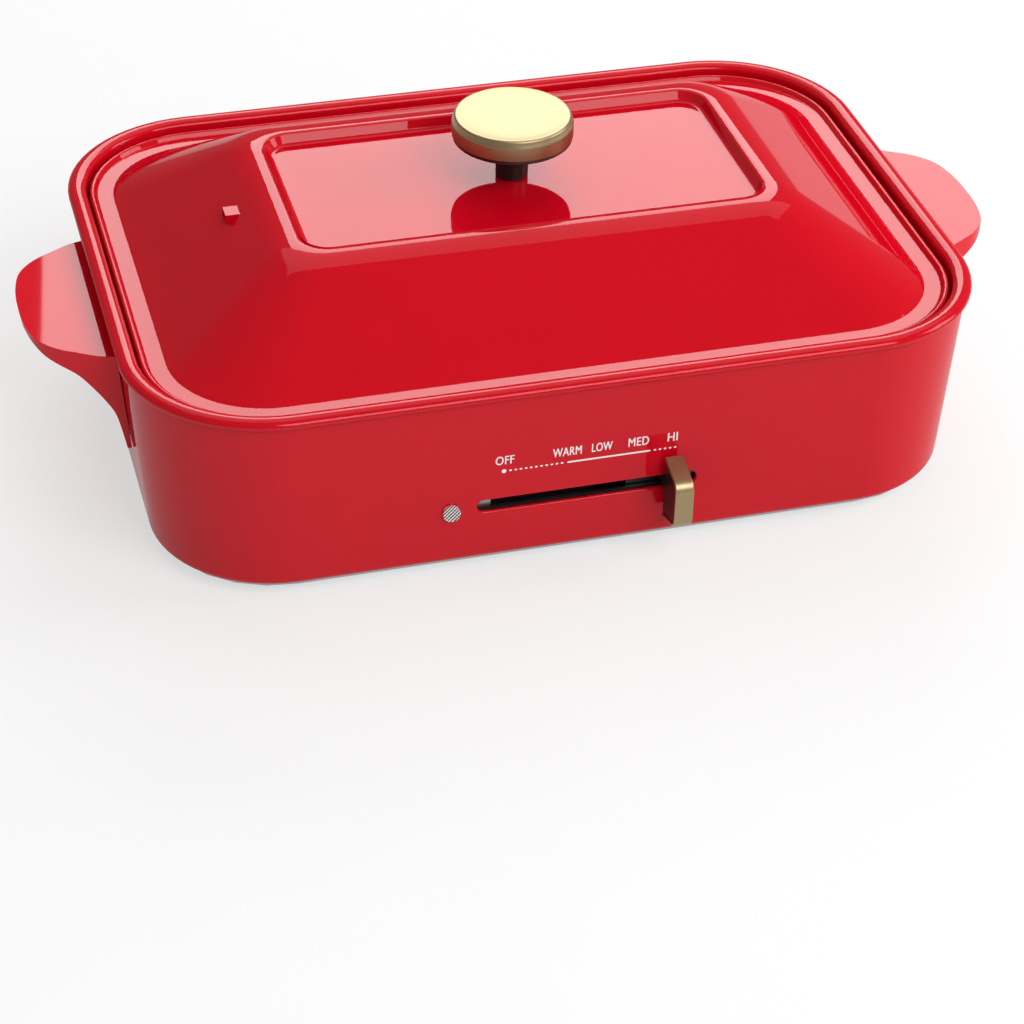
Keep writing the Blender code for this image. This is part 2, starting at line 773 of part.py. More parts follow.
def cut_sides_and_floor(shell):
    z = handle_top() - HANDLE_SCREW_BELOW_TOP
    x = wall_sizes(z)[0]
    bore = SCREW_SHAFT_RADIUS + SCREW_PLAY
    for side, label in ((-1, "left"), (1, "right")):
        for end, place in ((-1, "front"), (1, "rear")):
            y = end * HANDLE_SCREW_FROM_MIDDLE
            start = (side * (x - OVERRUN), y, z)
            cut(shell, rod(f"handle_hole_{label}_{place}", bore, start, (side * (x + OVERRUN), y, z)))
    for corner, (x, y) in base_screw_places().items():
        hole = rod(f"lip_hole_{corner}", bore, (x, y, BODY_Z - OVERRUN), (x, y, BODY_Z + OVERRUN))
        cut(shell, hole)


def cut_back(shell):
    face = wall_sizes(INLET_Z)[1]
    half_x = INLET_HALF_X + HOLE_PLAY
    half_z = INLET_HALF_Z + HOLE_PLAY
    window = box(
        "inlet_window", (INLET_X - half_x, face - OVERRUN, INLET_Z - half_z),
        (INLET_X + half_x, face + OVERRUN, INLET_Z + half_z))
    cut(shell, window)


def handle_top():
    return RIM_TOP - HANDLE_BELOW_RIM


def handle(side, label):
    """Scoop-shaped handle: flat on top, swept under, round in plan."""
    top = handle_top()
    toe_z = top - HANDLE_HEIGHT
    root = wall_sizes(top)[0] + GAP
    toe = wall_sizes(toe_z)[0] + GAP
    sweep = []
    for out, down in HANDLE_SWEEP_SHARES:
        sweep.append((mix(root, toe, down) + HANDLE_REACH * out, mix(top, toe_z, down)))
    profile = [(toe, toe_z), (root, top), *sweep]
    grip = flat(
        f"handle_{label}", profile, 2 * HANDLE_HALF_LENGTH, RED_PAINT,
        turn=facing(side * X_AXIS, Z_AXIS))
    near = [(root + HANDLE_REACH * out, HANDLE_HALF_LENGTH * along) for out, along in HANDLE_PLAN_SHARES]
    far = [(x, -y) for x, y in reversed(near[:-1])]
    inner = toe - OVERRUN
    plan = [(inner, HANDLE_HALF_LENGTH), *near, *far, (inner, -HANDLE_HALF_LENGTH)]
    mould = flat(
        f"handle_plan_{label}", [(side * x, y) for x, y in plan], 2 * HANDLE_HEIGHT + OVERRUN,
        place=(0, 0, top - HANDLE_HEIGHT / 2))
    combine(grip, mould, "INTERSECT")
    edge = grip.modifiers.new("Edge", "BEVEL")
    edge.width = HANDLE_EDGE
    edge.segments = 2
    edge.limit_method = "ANGLE"
    edge.angle_limit = math.radians(50)
    z = top - HANDLE_SCREW_BELOW_TOP
    x = wall_sizes(z)[0]
    for end, place in ((-1, "front"), (1, "rear")):
        y = end * HANDLE_SCREW_FROM_MIDDLE
        bore = rod(
            f"handle_bore_{label}_{place}", SCREW_SHAFT_RADIUS + HOLE_PLAY, (side * (x - OVERRUN), y, z),
            (side * (x - SHEET + HANDLE_SCREW_LENGTH + HOLE_PLAY), y, z))
        cut(grip, bore)
    hang(ROOT, grip)


def handle_screws():
    z = handle_top() - HANDLE_SCREW_BELOW_TOP
    low = wall_sizes(z - SCREW_HEAD_RADIUS)[0]
    for side, label in ((-1, "left"), (1, "right")):
        for end, place in ((-1, "front"), (1, "rear")):
            seat = (side * (low - SHEET - GAP), end * HANDLE_SCREW_FROM_MIDDLE, z)
            piece = screw(
                f"handle_screw_{label}_{place}", SCREW_HEAD_RADIUS, SCREW_HEAD_HEIGHT, SCREW_SHAFT_RADIUS,
                HANDLE_SCREW_LENGTH, seat, (0, side * math.pi / 2, 0))
            hang(ROOT, piece)


# Reflector tray and heater
def heater_ends():
    return ((HEATER_HALF_X, -HEATER_END_Y), (HEATER_HALF_X, HEATER_END_Y))


def tray_ring(out, z):
    return outline(TRAY_HALF_X + out, TRAY_HALF_Y + out, TRAY_CORNER + out, z)


def reflector_tray():
    top = TRAY_TOP + TRAY_WALL
    profile = rounded([
        ((TRAY_FLARE + TRAY_FLANGE, top), 0),
        ((TRAY_FLARE, top), TRAY_SHEET),
        ((0, TRAY_TOP), TRAY_ROUND),
        ((-TRAY_FLARE, TRAY_TOP), 0),
    ])
    rings = [tray_ring(out, z) for out, z in profile]
    tray = thicken(loft("reflector_tray", rings, ALUMINIUM, last_cap=True), TRAY_SHEET)
    low = TRAY_BOTTOM - OVERRUN
    high = TRAY_TOP + OVERRUN
    bore = SCREW_SHAFT_RADIUS + SCREW_PLAY
    for corner, (x, y) in post_places().items():
        cut(tray, rod(f"tray_screw_hole_{corner}", bore, (x, y, low), (x, y, high)))
    for index, (x, y) in enumerate(heater_ends()):
        cut(tray, rod(f"heater_hole_{index}", HEATER_RADIUS + HEATER_HOLE_PLAY, (x, y, low), (x, y, high)))
    hang(ROOT, tray)


def tray_posts():
    top = TRAY_BOTTOM - GAP
    foot = BASE_TOP + GAP
    profile = [
        (0, top - POST_BORE_DEPTH),
        (POST_BORE_RADIUS, top - POST_BORE_DEPTH),
        (POST_BORE_RADIUS, top),
        (POST_RADIUS, top),
        (POST_RADIUS, foot),
        (POST_SPIGOT_RADIUS, foot),
        (POST_SPIGOT_RADIUS, foot - POST_SPIGOT_LENGTH),
        (0, foot - POST_SPIGOT_LENGTH),
    ]
    for corner, (x, y) in post_places().items():
        hang(ROOT, turned(f"tray_post_{corner}", profile, STEEL, (x, y, 0)))


def tray_screws():
    for corner, (x, y) in post_places().items():
        piece = screw(
            f"tray_screw_{corner}", SCREW_HEAD_RADIUS, SCREW_HEAD_HEIGHT, SCREW_SHAFT_RADIUS,
            TRAY_SCREW_LENGTH, (x, y, TRAY_TOP + GAP), (math.pi, 0, 0))
        hang(ROOT, piece)


def heater_element():
    (end_x, front_y), (_, rear_y) = heater_ends()
    low = HEATER_Z - HEATER_END_DROP
    route = rounded([
        ((end_x, front_y, low), 0),
        ((end_x, front_y, HEATER_Z), HEATER_END_BEND),
        ((end_x, -HEATER_HALF_Y, HEATER_Z), HEATER_CORNER),
        ((-HEATER_HALF_X, -HEATER_HALF_Y, HEATER_Z), HEATER_CORNER),
        ((-HEATER_HALF_X, HEATER_HALF_Y, HEATER_Z), HEATER_CORNER),
        ((end_x, HEATER_HALF_Y, HEATER_Z), HEATER_CORNER),
        ((end_x, rear_y, HEATER_Z), HEATER_END_BEND),
        ((end_x, rear_y, low), 0),
    ], steps=CORNER_STEPS)
    hang(ROOT, tube("heater_element", route, HEATER_RADIUS, STEEL))


def heater_clips():
    """Saddles that hold the heater down on the tray."""
    arch = HEATER_RADIUS + GAP + CLIP_SHEET / 2
    floor = TRAY_TOP + GAP + CLIP_SHEET / 2
    top = HEATER_Z + arch
    path = rounded([
        ((-arch - CLIP_FOOT, floor), 0),
        ((-arch, floor), CLIP_BEND),
        ((-arch, top), arch),
        ((arch, top), arch),
        ((arch, floor), CLIP_BEND),
        ((arch + CLIP_FOOT, floor), 0),
    ])
    places = {
        "front_left": (-CLIP_X, -HEATER_HALF_Y),
        "front_right": (CLIP_X, -HEATER_HALF_Y),
        "rear": (0, HEATER_HALF_Y),
    }
    for label, (x, y) in places.items():
        piece = strip(
            f"heater_clip_{label}", path, CLIP_WIDTH, CLIP_SHEET, STEEL, (x, y, 0), facing(Y_AXIS, Z_AXIS))
        hang(ROOT, piece)


# Control: bracket, cam slide, lever and thermostat
def rail_y():
    """Middle of the bracket's front wall, just inside the body's wall."""
    return -wall_sizes(SLOT_Z)[1] + SHEET + RAIL_FROM_WALL


def cam_front_y():
    return rail_y() + BRACKET_SHEET / 2 + CAM_FROM_RAIL


def cam_slope():
    return PLUNGER_TRAVEL / LEVER_TRAVEL


def cam_ends():
    """Ends of the cam slide at rest, long enough for the plunger to stay on it."""
    return PLUNGER_X - CAM_END, PLUNGER_X + LEVER_TRAVEL + CAM_END


def cam_rear_y(x):
    """Rear face of the cam slide at rest, which is thickest at its left end."""
    right = cam_ends()[1]
    return cam_front_y() + CAM_THIN + (right - x) * cam_slope()


def control_bracket():
    front = rail_y()
    rear = front + BRACKET_DEPTH
    floor = BODY_Z + SHEET + GAP + BRACKET_SHEET / 2
    path = rounded([
        ((front, floor + RAIL_HEIGHT), 0),
        ((front, floor), BRACKET_ROUND),
        ((rear, floor), BRACKET_ROUND),
        ((rear, floor + BRACKET_REAR_HEIGHT), 0),
    ])
    turn = facing(Y_AXIS, Z_AXIS)
    length = 2 * RAIL_HALF_LENGTH
    bracket = strip("control_bracket", path, length, BRACKET_SHEET, STEEL, (0, 0, 0), turn)
    half_length = LEVER_TRAVEL / 2 + LEVER_WIDTH / 2 + SLOT_PLAY
    half_height = NECK_HEIGHT / 2 + SLOT_PLAY
    slot = box(
        "rail_slot", (-half_length, front - BRACKET_SHEET, SLOT_Z - half_height),
        (half_length, front + BRACKET_SHEET, SLOT_Z + half_height))
    cut(bracket, slot)
    bore = rod(
        "plunger_hole", PLUNGER_RADIUS + PLUNGER_PLAY, (PLUNGER_X, rear - OVERRUN, PLUNGER_Z),
        (PLUNGER_X, rear + OVERRUN, PLUNGER_Z))
    cut(bracket, bore)
    hang(ROOT, bracket)


def thermostat():
    front = rail_y() + BRACKET_DEPTH + BRACKET_SHEET / 2 + GAP
    top = PLUNGER_Z + THERMOSTAT_ABOVE_PLUNGER
    body = box(
        "thermostat_body", (PLUNGER_X - THERMOSTAT_HALF_WIDTH, front, top - THERMOSTAT_HEIGHT),
        (PLUNGER_X + THERMOSTAT_HALF_WIDTH, front + THERMOSTAT_DEPTH, top), WHITE_PLASTIC)
    bore = rod(
        "thermostat_bore", PLUNGER_RADIUS + GAP, (PLUNGER_X, front - OVERRUN, PLUNGER_Z),
        (PLUNGER_X, front + THERMOSTAT_BORE_DEPTH, PLUNGER_Z))
    cut(body, bore)
    hang(ROOT, body)
    tip = cam_rear_y(PLUNGER_X) + PLUNGER_PLAY
    pin = rod(
        "thermostat_plunger", PLUNGER_RADIUS, (PLUNGER_X, tip, PLUNGER_Z),
        (PLUNGER_X, front + PLUNGER_IN_THERMOSTAT, PLUNGER_Z), BRASS)
    hang(PLUNGER, pin)


def lever_outline(offset):
    """Side view of the lever, as distance out from the wall and height; offset thins it."""
    slant = Vector((LEVER_REACH - LEVER_START, LEVER_FRONT_HALF - LEVER_BACK_HALF))
    lean = offset * slant.length / slant.x
    back = LEVER_BACK_HALF - lean
    front_drop = offset * slant.y / slant.x
    front = LEVER_FRONT_HALF - lean - front_drop
    reach = LEVER_REACH - offset
    radius = LEVER_ROUND - offset
    corners = [
        ((LEVER_START, back), 0), ((reach, front), radius),
        ((reach, -front), radius), ((LEVER_START, -back), 0)]
    return rounded(corners)


def lever():
    face = -wall_sizes(SLOT_Z)[1]
    turn = facing(-Y_AXIS, Z_AXIS)
    place = (LEVER_X, face, SLOT_Z)
    cap = strip("lever_cap", lever_outline(0), LEVER_WIDTH, LEVER_BAND, GOLD_SATIN, place, turn, offset=1)
    neck_end = -(cam_front_y() - face) - CAM_SOCKET_DEPTH + GAP
    neck = NECK_HEIGHT / 2
    core_line = [(neck_end, neck), (LEVER_START, neck), *lever_outline(LEVER_BAND + GAP)]
    core_line += [(LEVER_START, -neck), (neck_end, -neck)]
    core_width = LEVER_WIDTH - 2 * LEVER_CORE_RECESS
    core = flat("lever_core", core_line, core_width, BLACK_PLASTIC, place, turn)
    left, right = cam_ends()
    front = cam_front_y()
    plan = [(left, front), (right, front), (right, cam_rear_y(right)), (left, cam_rear_y(left))]
    slide = flat("cam_slide", plan, CAM_HEIGHT, BLACK_PLASTIC, (0, 0, SLOT_Z))
    half_width = core_width / 2 + HOLE_PLAY
    half_height = neck + HOLE_PLAY
    socket = box(
        "neck_socket", (LEVER_X - half_width, front - SOCKET_OVERRUN, SLOT_Z - half_height),
        (LEVER_X + half_width, front + CAM_SOCKET_DEPTH, SLOT_Z + half_height))
    cut(slide, socket)
    hang(LEVER, cap, core, slide)


# Pilot lamp
def pilot_lamp():
    outside = wall_sizes(LAMP_Z + LAMP_FLANGE_RADIUS)[1] + GAP
    lens_profile = [
        (0, LAMP_FLANGE + LAMP_DOME),
        (LAMP_FLANGE_RADIUS / 2, LAMP_FLANGE + LAMP_DOME / 2),
        (LAMP_FLANGE_RADIUS, LAMP_FLANGE),
        (LAMP_FLANGE_RADIUS, 0),
        (LAMP_BARREL_RADIUS, 0),
        (LAMP_BARREL_RADIUS, -LAMP_BARREL_LENGTH),
        (0, -LAMP_BARREL_LENGTH),
    ]
    outward = (math.pi / 2, 0, 0)
    lens = turned("lamp_lens", lens_profile, CLEAR_PLASTIC, (LAMP_X, -outside, LAMP_Z), outward, LAMP_STEPS)
    inside = wall_sizes(LAMP_Z - HOLDER_RADIUS)[1] - SHEET - GAP
    cup_profile = [
        (HOLDER_RADIUS - HOLDER_WALL, 0),
        (HOLDER_RADIUS, 0),
        (HOLDER_RADIUS, -HOLDER_LENGTH),
        (0, -HOLDER_LENGTH),
        (0, -HOLDER_LENGTH + HOLDER_WALL),
        (HOLDER_RADIUS - HOLDER_WALL, -HOLDER_LENGTH + HOLDER_WALL),
    ]
    cup = cup_profile[4:] + cup_profile[:4]
    holder = turned("lamp_holder", cup, BLACK_PLASTIC, (LAMP_X, -inside, LAMP_Z), outward)
    back = -inside + HOLDER_LENGTH - HOLDER_WALL - GAP
    front = back - NEON_LENGTH
    neon = rod("neon_lamp", NEON_RADIUS, (LAMP_X, front, LAMP_Z), (LAMP_X, back, LAMP_Z), CLEAR_PLASTIC)
    hang(ROOT, lens, holder, neon)


# Power inlet
def inlet_outline(half_x, half_z):
    corners = [
        ((-half_x, -half_z), INLET_CORNER), ((half_x, -half_z), INLET_CORNER),
        ((half_x, half_z), INLET_CORNER), ((-half_x, half_z), INLET_CORNER)]
    return rounded(corners, closed=True)


def inlet_mouth_y():
    """Outer face of the inlet's flange, outside the sloping rear wall."""
    return wall_sizes(INLET_Z + INLET_HALF_Z + INLET_FLANGE)[1] + GAP + INLET_FLANGE_THICKNESS


def inlet():
    mouth = inlet_mouth_y()
    rear = mouth - INLET_DEPTH
    turn = facing(X_AXIS, Z_AXIS)
    housing = box(
        "inlet_housing", (INLET_X - INLET_HALF_X, rear, INLET_Z - INLET_HALF_Z),
        (INLET_X + INLET_HALF_X, mouth - WELD, INLET_Z + INLET_HALF_Z), BLACK_PLASTIC)
    flange = flat(
        "inlet_flange", inlet_outline(INLET_HALF_X + INLET_FLANGE, INLET_HALF_Z + INLET_FLANGE),
        INLET_FLANGE_THICKNESS, place=(INLET_X, mouth - INLET_FLANGE_THICKNESS / 2, INLET_Z), turn=turn)
    join(housing, flange)
    cavity = box(
        "inlet_cavity",
        (INLET_X - INLET_HALF_X + INLET_WALL, rear + INLET_WALL, INLET_Z - INLET_HALF_Z + INLET_WALL),
        (INLET_X + INLET_HALF_X - INLET_WALL, mouth + OVERRUN, INLET_Z + INLET_HALF_Z - INLET_WALL))
    cut(housing, cavity)
    for side, label in ((-1, "left"), (1, "right")):
        x = INLET_X + side * INLET_PIN_PITCH / 2
        start = rear - INLET_PIN_BEHIND
        through = rear + INLET_WALL + OVERRUN
        bore = INLET_PIN_RADIUS + HOLE_PLAY
        cut(housing, rod(f"inlet_bore_{label}", bore, (x, start, INLET_Z), (x, through, INLET_Z)))
        tip = start + INLET_PIN_LENGTH
        hang(ROOT, rod(f"inlet_pin_{label}", INLET_PIN_RADIUS, (x, start, INLET_Z), (x, tip, INLET_Z), BRASS))
        x = INLET_X + side * INLET_CONTACT_FROM_MIDDLE
        low = rear + INLET_WALL + GAP
        contact = box(
            f"inlet_magnet_plate_{label}", (x - INLET_CONTACT_X / 2, low, INLET_Z - INLET_CONTACT_Z),
            (x + INLET_CONTACT_X / 2, low + INLET_CONTACT_THICKNESS, INLET_Z + INLET_CONTACT_Z), STEEL)
        hang(ROOT, contact)
    hang(ROOT, housing)


# Wiring under the tray
def terminal_block():
    low = BASE_TOP + GAP
    block = box(
        "terminal_block", (TERMINAL_X - TERMINAL_HALF_X, TERMINAL_Y - TERMINAL_HALF_Y, low),
        (TERMINAL_X + TERMINAL_HALF_X, TERMINAL_Y + TERMINAL_HALF_Y, low + TERMINAL_HEIGHT), WHITE_PLASTIC)
    hang(ROOT, block)


def wiring():
    inlet_rear = inlet_mouth_y() - INLET_DEPTH - INLET_PIN_BEHIND - GAP
    pin_left = Vector((INLET_X - INLET_PIN_PITCH / 2, inlet_rear, INLET_Z))
    pin_right = Vector((INLET_X + INLET_PIN_PITCH / 2, inlet_rear, INLET_Z))
    step = WIRE_CLEARANCE * Y_AXIS
    stub = WIRE_STUB * Y_AXIS
    block_top = Vector((TERMINAL_X, TERMINAL_Y, BASE_TOP + GAP + TERMINAL_HEIGHT + GAP))
    block_front = Vector((TERMINAL_X, TERMINAL_Y - TERMINAL_HALF_Y - GAP, WIRE_Z))
    thermostat_rear = rail_y() + BRACKET_DEPTH + BRACKET_SHEET / 2 + GAP + THERMOSTAT_DEPTH + GAP
    thermostat_right = Vector((PLUNGER_X + TERMINAL_PITCH / 2, thermostat_rear, WIRE_Z + WIRE_CLEARANCE))
    thermostat_low = Vector((PLUNGER_X + TERMINAL_PITCH, thermostat_rear, WIRE_Z + WIRE_STUB))
    (end_x, front_y), (_, rear_y) = heater_ends()
    end_z = HEATER_Z - HEATER_END_DROP - GAP
    heater_front = Vector((end_x, front_y, end_z))
    heater_rear = Vector((end_x, rear_y, end_z))
    drop = WIRE_CLEARANCE * Z_AXIS
    fuse_left = Vector((FUSE_X - FUSE_LENGTH / 2 - GAP, FUSE_Y, WIRE_Z + drop.z))
    fuse_right = Vector((FUSE_X + FUSE_LENGTH / 2 + GAP, FUSE_Y, WIRE_Z + drop.z))
    fuse = rod(
        "thermal_fuse", FUSE_RADIUS, fuse_left + GAP * X_AXIS, fuse_right - GAP * X_AXIS, WHITE_PLASTIC)
    dip = WIRE_STUB * Z_AXIS
    side = WIRE_STUB * X_AXIS
    bend_x = mix(INLET_X, end_x, WIRE_MIDWAY)
    bend_y = mix(TERMINAL_Y, rear_y, WIRE_BEND_AT)
    between_x = mix(TERMINAL_X, PLUNGER_X, WIRE_MIDWAY)
    routes = {
        "wire_inlet_left": [
            pin_left, pin_left - step, pin_left - stub - dip, block_top + dip, block_top + drop, block_top],
        "wire_inlet_right": [
            pin_right, pin_right - step, pin_right - stub - dip, (bend_x, bend_y, WIRE_Z),
            (end_x, rear_y + WIRE_STUB, end_z - drop.z), heater_rear - drop, heater_rear],
        "wire_thermostat": [
            block_front, block_front - step, (between_x, 0, WIRE_Z), thermostat_right + stub,
            thermostat_right + step, thermostat_right],
        "wire_fuse": [
            thermostat_low, thermostat_low + step, fuse_left - side - side, fuse_left - side, fuse_left],
        "wire_heater": [
            fuse_right, fuse_right + side, (end_x, front_y - WIRE_STUB, end_z - drop.z),
            heater_front - drop, heater_front],
    }
    hang(ROOT, fuse)
    for name, route in routes.items():
        hang(ROOT, tube(name, smooth_route(route), WIRE_RADIUS, WIRE_SLEEVE, WIRE_STEPS))


# Cooking plate
def cooking_plate():
    mouth = PLATE_MOUTH_INSET
    foot = mouth + PLATE_DRAFT
    section = rounded([
        ((foot + PLATE_OUTER_ROUND, PLATE_UNDERSIDE), 0),
        ((foot, PLATE_UNDERSIDE), PLATE_OUTER_ROUND / 2),
        ((mouth, PLATE_Z), 0),
        ((PLATE_OUTER_INSET, PLATE_Z), PLATE_EDGE),
        ((PLATE_OUTER_INSET, PLATE_TOP), PLATE_EDGE),
        ((mouth + PLATE_WALL, PLATE_TOP), PLATE_SHOULDER),
        ((foot + PLATE_WALL, PLATE_SURFACE), PLATE_INNER_ROUND),
        ((foot + PLATE_WALL + PLATE_INNER_ROUND, PLATE_SURFACE), 0),
    ])
    plate = loft("cooking_plate", [rim_ring(inset, z) for inset, z in section], BLACK_COATING, True, True)
    edge = RIM_HALF_Y - foot - PLATE_OUTER_ROUND / 2 - FIN_SET_BACK
    root = PLATE_UNDERSIDE + FIN_ROOT
    tip = PLATE_UNDERSIDE - FIN_HEIGHT
    blade = [(edge, root), (edge - FIN_LENGTH, root), (edge - FIN_TIP, tip), (edge, tip)]
    for side_x in (-1, 1):
        for side_y in (-1, 1):
            points = [(side_y * y, z) for y, z in blade]
            fin = flat(
                f"fin_{side_x}_{side_y}", points, FIN_THICKNESS, place=(side_x * FIN_FROM_MIDDLE, 0, 0),
                turn=facing(Y_AXIS, Z_AXIS))
            join(plate, fin)
    hang(PLATE, plate)


# Lid and knob
def slope_profile():
    """Slope and shoulder: a straight flank that runs into a round shoulder at the panel's ridge."""
    top = RIM_HALF_X - PANEL_HALF_X
    middle = Vector((top, RIDGE_Z - SHOULDER_RADIUS))
    start = Vector((SLOPE_START, SLOPE_Z))
    across = middle - start
    lean = math.atan2(across.y, across.x) + math.asin(SHOULDER_RADIUS / across.length)
    path = [start]
    for step in range(SHOULDER_STEPS + 1):
        angle = lean * (1 - step / SHOULDER_STEPS)
        path.append(middle + SHOULDER_RADIUS * Vector((-math.sin(angle), math.cos(angle))))
    return path


def recess_profile():
    """From the ridge down to the panel: a round edge, a straight flank and a round foot."""
    turn_rise = PANEL_ROUND * (1 - math.cos(PANEL_SLOPE))
    turn_width = PANEL_ROUND * math.sin(PANEL_SLOPE)
    flank = (PANEL_RECESS - 2 * turn_rise) / math.tan(PANEL_SLOPE)
    width = 2 * turn_width + flank
    path = []
    for step in range(1, PANEL_STEPS + 1):
        angle = PANEL_SLOPE * step / PANEL_STEPS
        path.append((PANEL_ROUND * math.sin(angle), RIDGE_Z - PANEL_ROUND * (1 - math.cos(angle))))
    for step in range(PANEL_STEPS + 1):
        angle = PANEL_SLOPE * (1 - step / PANEL_STEPS)
        path.append((width - PANEL_ROUND * math.sin(angle), PANEL_Z + PANEL_ROUND * (1 - math.cos(angle))))
    return path


def lid_shell():
    bead_end = LID_OUTER_INSET + LID_BEAD_WIDTH
    lip = rounded([
        ((LID_OUTER_INSET, LID_Z), 0),
        ((LID_OUTER_INSET, LID_BEAD_TOP), LID_BEAD_ROUND),
        ((bead_end, LID_BEAD_TOP), LID_BEAD_ROUND),
        ((GUTTER_START, GUTTER_Z), GUTTER_EDGE),
        ((GUTTER_END, GUTTER_Z), GUTTER_EDGE),
        ((SLOPE_START, SLOPE_Z), 0),
    ])
    rings = [lid_ring(inset, z) for inset, z in lip[:-1] + slope_profile()]
    rings += [panel_ring(inset, z) for inset, z in recess_profile()]
    shell = thicken(loft("lid_shell", rings, RED_PAINT, last_cap=True), LID_SHEET)
    steam_vent(shell)
    hole = rod(
        "knob_hole", KNOB_SCREW_RADIUS + SCREW_PLAY, (0, 0, PANEL_Z - OVERRUN), (0, 0, PANEL_Z + OVERRUN))
    cut(shell, hole)
    hang(LID, shell)


def steam_vent(shell):
    """Small pressed hood with a level roof on the left slope, open on its downhill side."""
    start, shoulder = slope_profile()[:2]
    rise = (shoulder.y - start.y) / (shoulder.x - start.x)
    uphill = -(PANEL_HALF_X + STEAM_HOOD_FROM_RIDGE)
    downhill = uphill - STEAM_HOOD_LENGTH
    roof = start.y + rise * (RIM_HALF_X + uphill - start.x)
    eave = roof - rise * STEAM_HOOD_LENGTH
    sink = LID_SHEET / 2
    hood_line = [(uphill, roof), (downhill, roof), (downhill, eave - sink), (uphill, roof - sink)]
    hood = flat("steam_hood", hood_line, STEAM_HOOD_WIDTH, turn=facing(X_AXIS, Z_AXIS))
    join(shell, hood)
    high = roof - STEAM_HOOD_ROOF
    passage = box(
        "steam_passage", (downhill - SOCKET_OVERRUN, -STEAM_HOLE_WIDTH / 2, high - STEAM_HOLE_HEIGHT),
        (uphill + SOCKET_OVERRUN, STEAM_HOLE_WIDTH / 2, high))
    cut(shell, passage)


def knob():
    stem_profile = [
        (0, STEM_HEIGHT + SPIGOT_HEIGHT),
        (SPIGOT_RADIUS, STEM_HEIGHT + SPIGOT_HEIGHT),
        (SPIGOT_RADIUS, STEM_HEIGHT),
        (STEM_RADIUS, STEM_HEIGHT),
        (STEM_RADIUS, 0),
        (KNOB_BORE_RADIUS, 0),
        (KNOB_BORE_RADIUS, KNOB_BORE_DEPTH),
        (0, KNOB_BORE_DEPTH),
    ]
    stem = turned("knob_stem", stem_profile, BLACK_PLASTIC, (0, 0, STEM_Z))
    socket = SPIGOT_RADIUS + HOLE_PLAY
    ring_profile = [
        (socket, RING_THICKNESS), (RING_RADIUS, RING_THICKNESS), (RING_RADIUS, 0), (socket, 0)]
    ring = turned("knob_ring", ring_profile, BLACK_PLASTIC, (0, 0, RING_Z), steps=TURN_STEPS, ring=True)
    cap_profile = [
        (0, CAP_HEIGHT - CAP_DISH),
        (CAP_DISH_RADIUS, CAP_HEIGHT - CAP_DISH),
        (CAP_TOP_RADIUS - CAP_EDGE, CAP_HEIGHT),
        (CAP_TOP_RADIUS, CAP_HEIGHT - CAP_EDGE),
        (CAP_RADIUS, CAP_HEIGHT - CAP_CROWN_HEIGHT),
        (CAP_RADIUS, CAP_EDGE),
        (CAP_RADIUS - CAP_EDGE, 0),
        (socket, 0),
        (socket, CAP_HEIGHT - CAP_ROOF),
        (0, CAP_HEIGHT - CAP_ROOF),
    ]
    cap = turned("knob_cap", cap_profile, GOLD_SATIN, (0, 0, CAP_Z), steps=TURN_STEPS)
    washer_top = PANEL_Z - LID_SHEET - GAP
    washer_bore = KNOB_SCREW_RADIUS + SCREW_PLAY
    washer_profile = [
        (washer_bore, 0),
        (WASHER_RADIUS, 0),
        (WASHER_RADIUS, -WASHER_THICKNESS),
        (washer_bore, -WASHER_THICKNESS),
    ]
    washer = turned("knob_washer", washer_profile, STEEL, (0, 0, washer_top), ring=True)
    fastener = screw(
        "knob_screw", KNOB_SCREW_HEAD_RADIUS, KNOB_SCREW_HEAD_HEIGHT, KNOB_SCREW_RADIUS, KNOB_SCREW_LENGTH,
        (0, 0, washer_top - WASHER_THICKNESS - GAP))
    hang(LID, stem, ring, cap, washer, fastener)


# Bodies: the whole stands with its box centred over the origin
FRONT_REACH = wall_sizes(SLOT_Z)[1] + LEVER_REACH
ROOT = carrier("cooker", (0, (FRONT_REACH - RIM_HALF_Y) / 2, 0))
PLATE = carrier("plate_lift_axis", (0, 0, PLATE_Z), ROOT)
LID = carrier("lid_lift_axis", (0, 0, LID_Z), ROOT)
LEVER = carrier("lever_slide_axis", (LEVER_X, -wall_sizes(SLOT_Z)[1], SLOT_Z), ROOT)
PLUNGER = carrier("plunger_axis", (PLUNGER_X, rail_y() + BRACKET_DEPTH, PLUNGER_Z), ROOT)

base_plate()
feet()
base_screws()
body_shell()
handle(-1, "left")
handle(1, "right")
handle_screws()
reflector_tray()
tray_posts()
tray_screws()
heater_element()
heater_clips()
control_bracket()
thermostat()
lever()
pilot_lamp()
inlet()
terminal_block()
wiring()
cooking_plate()
lid_shell()
knob()
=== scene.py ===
# %% [markdown]
# # Electric hot plate
#
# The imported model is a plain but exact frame: every piece has its true size and place.
# This lesson dresses it. The painted shells, the knob, the lever and the lamp are modelled
# again with soft edges, and every piece gets a finish made of nodes.

# %% Load the frame
import json
import math

import bmesh
import bpy
from mathutils import Matrix, Vector


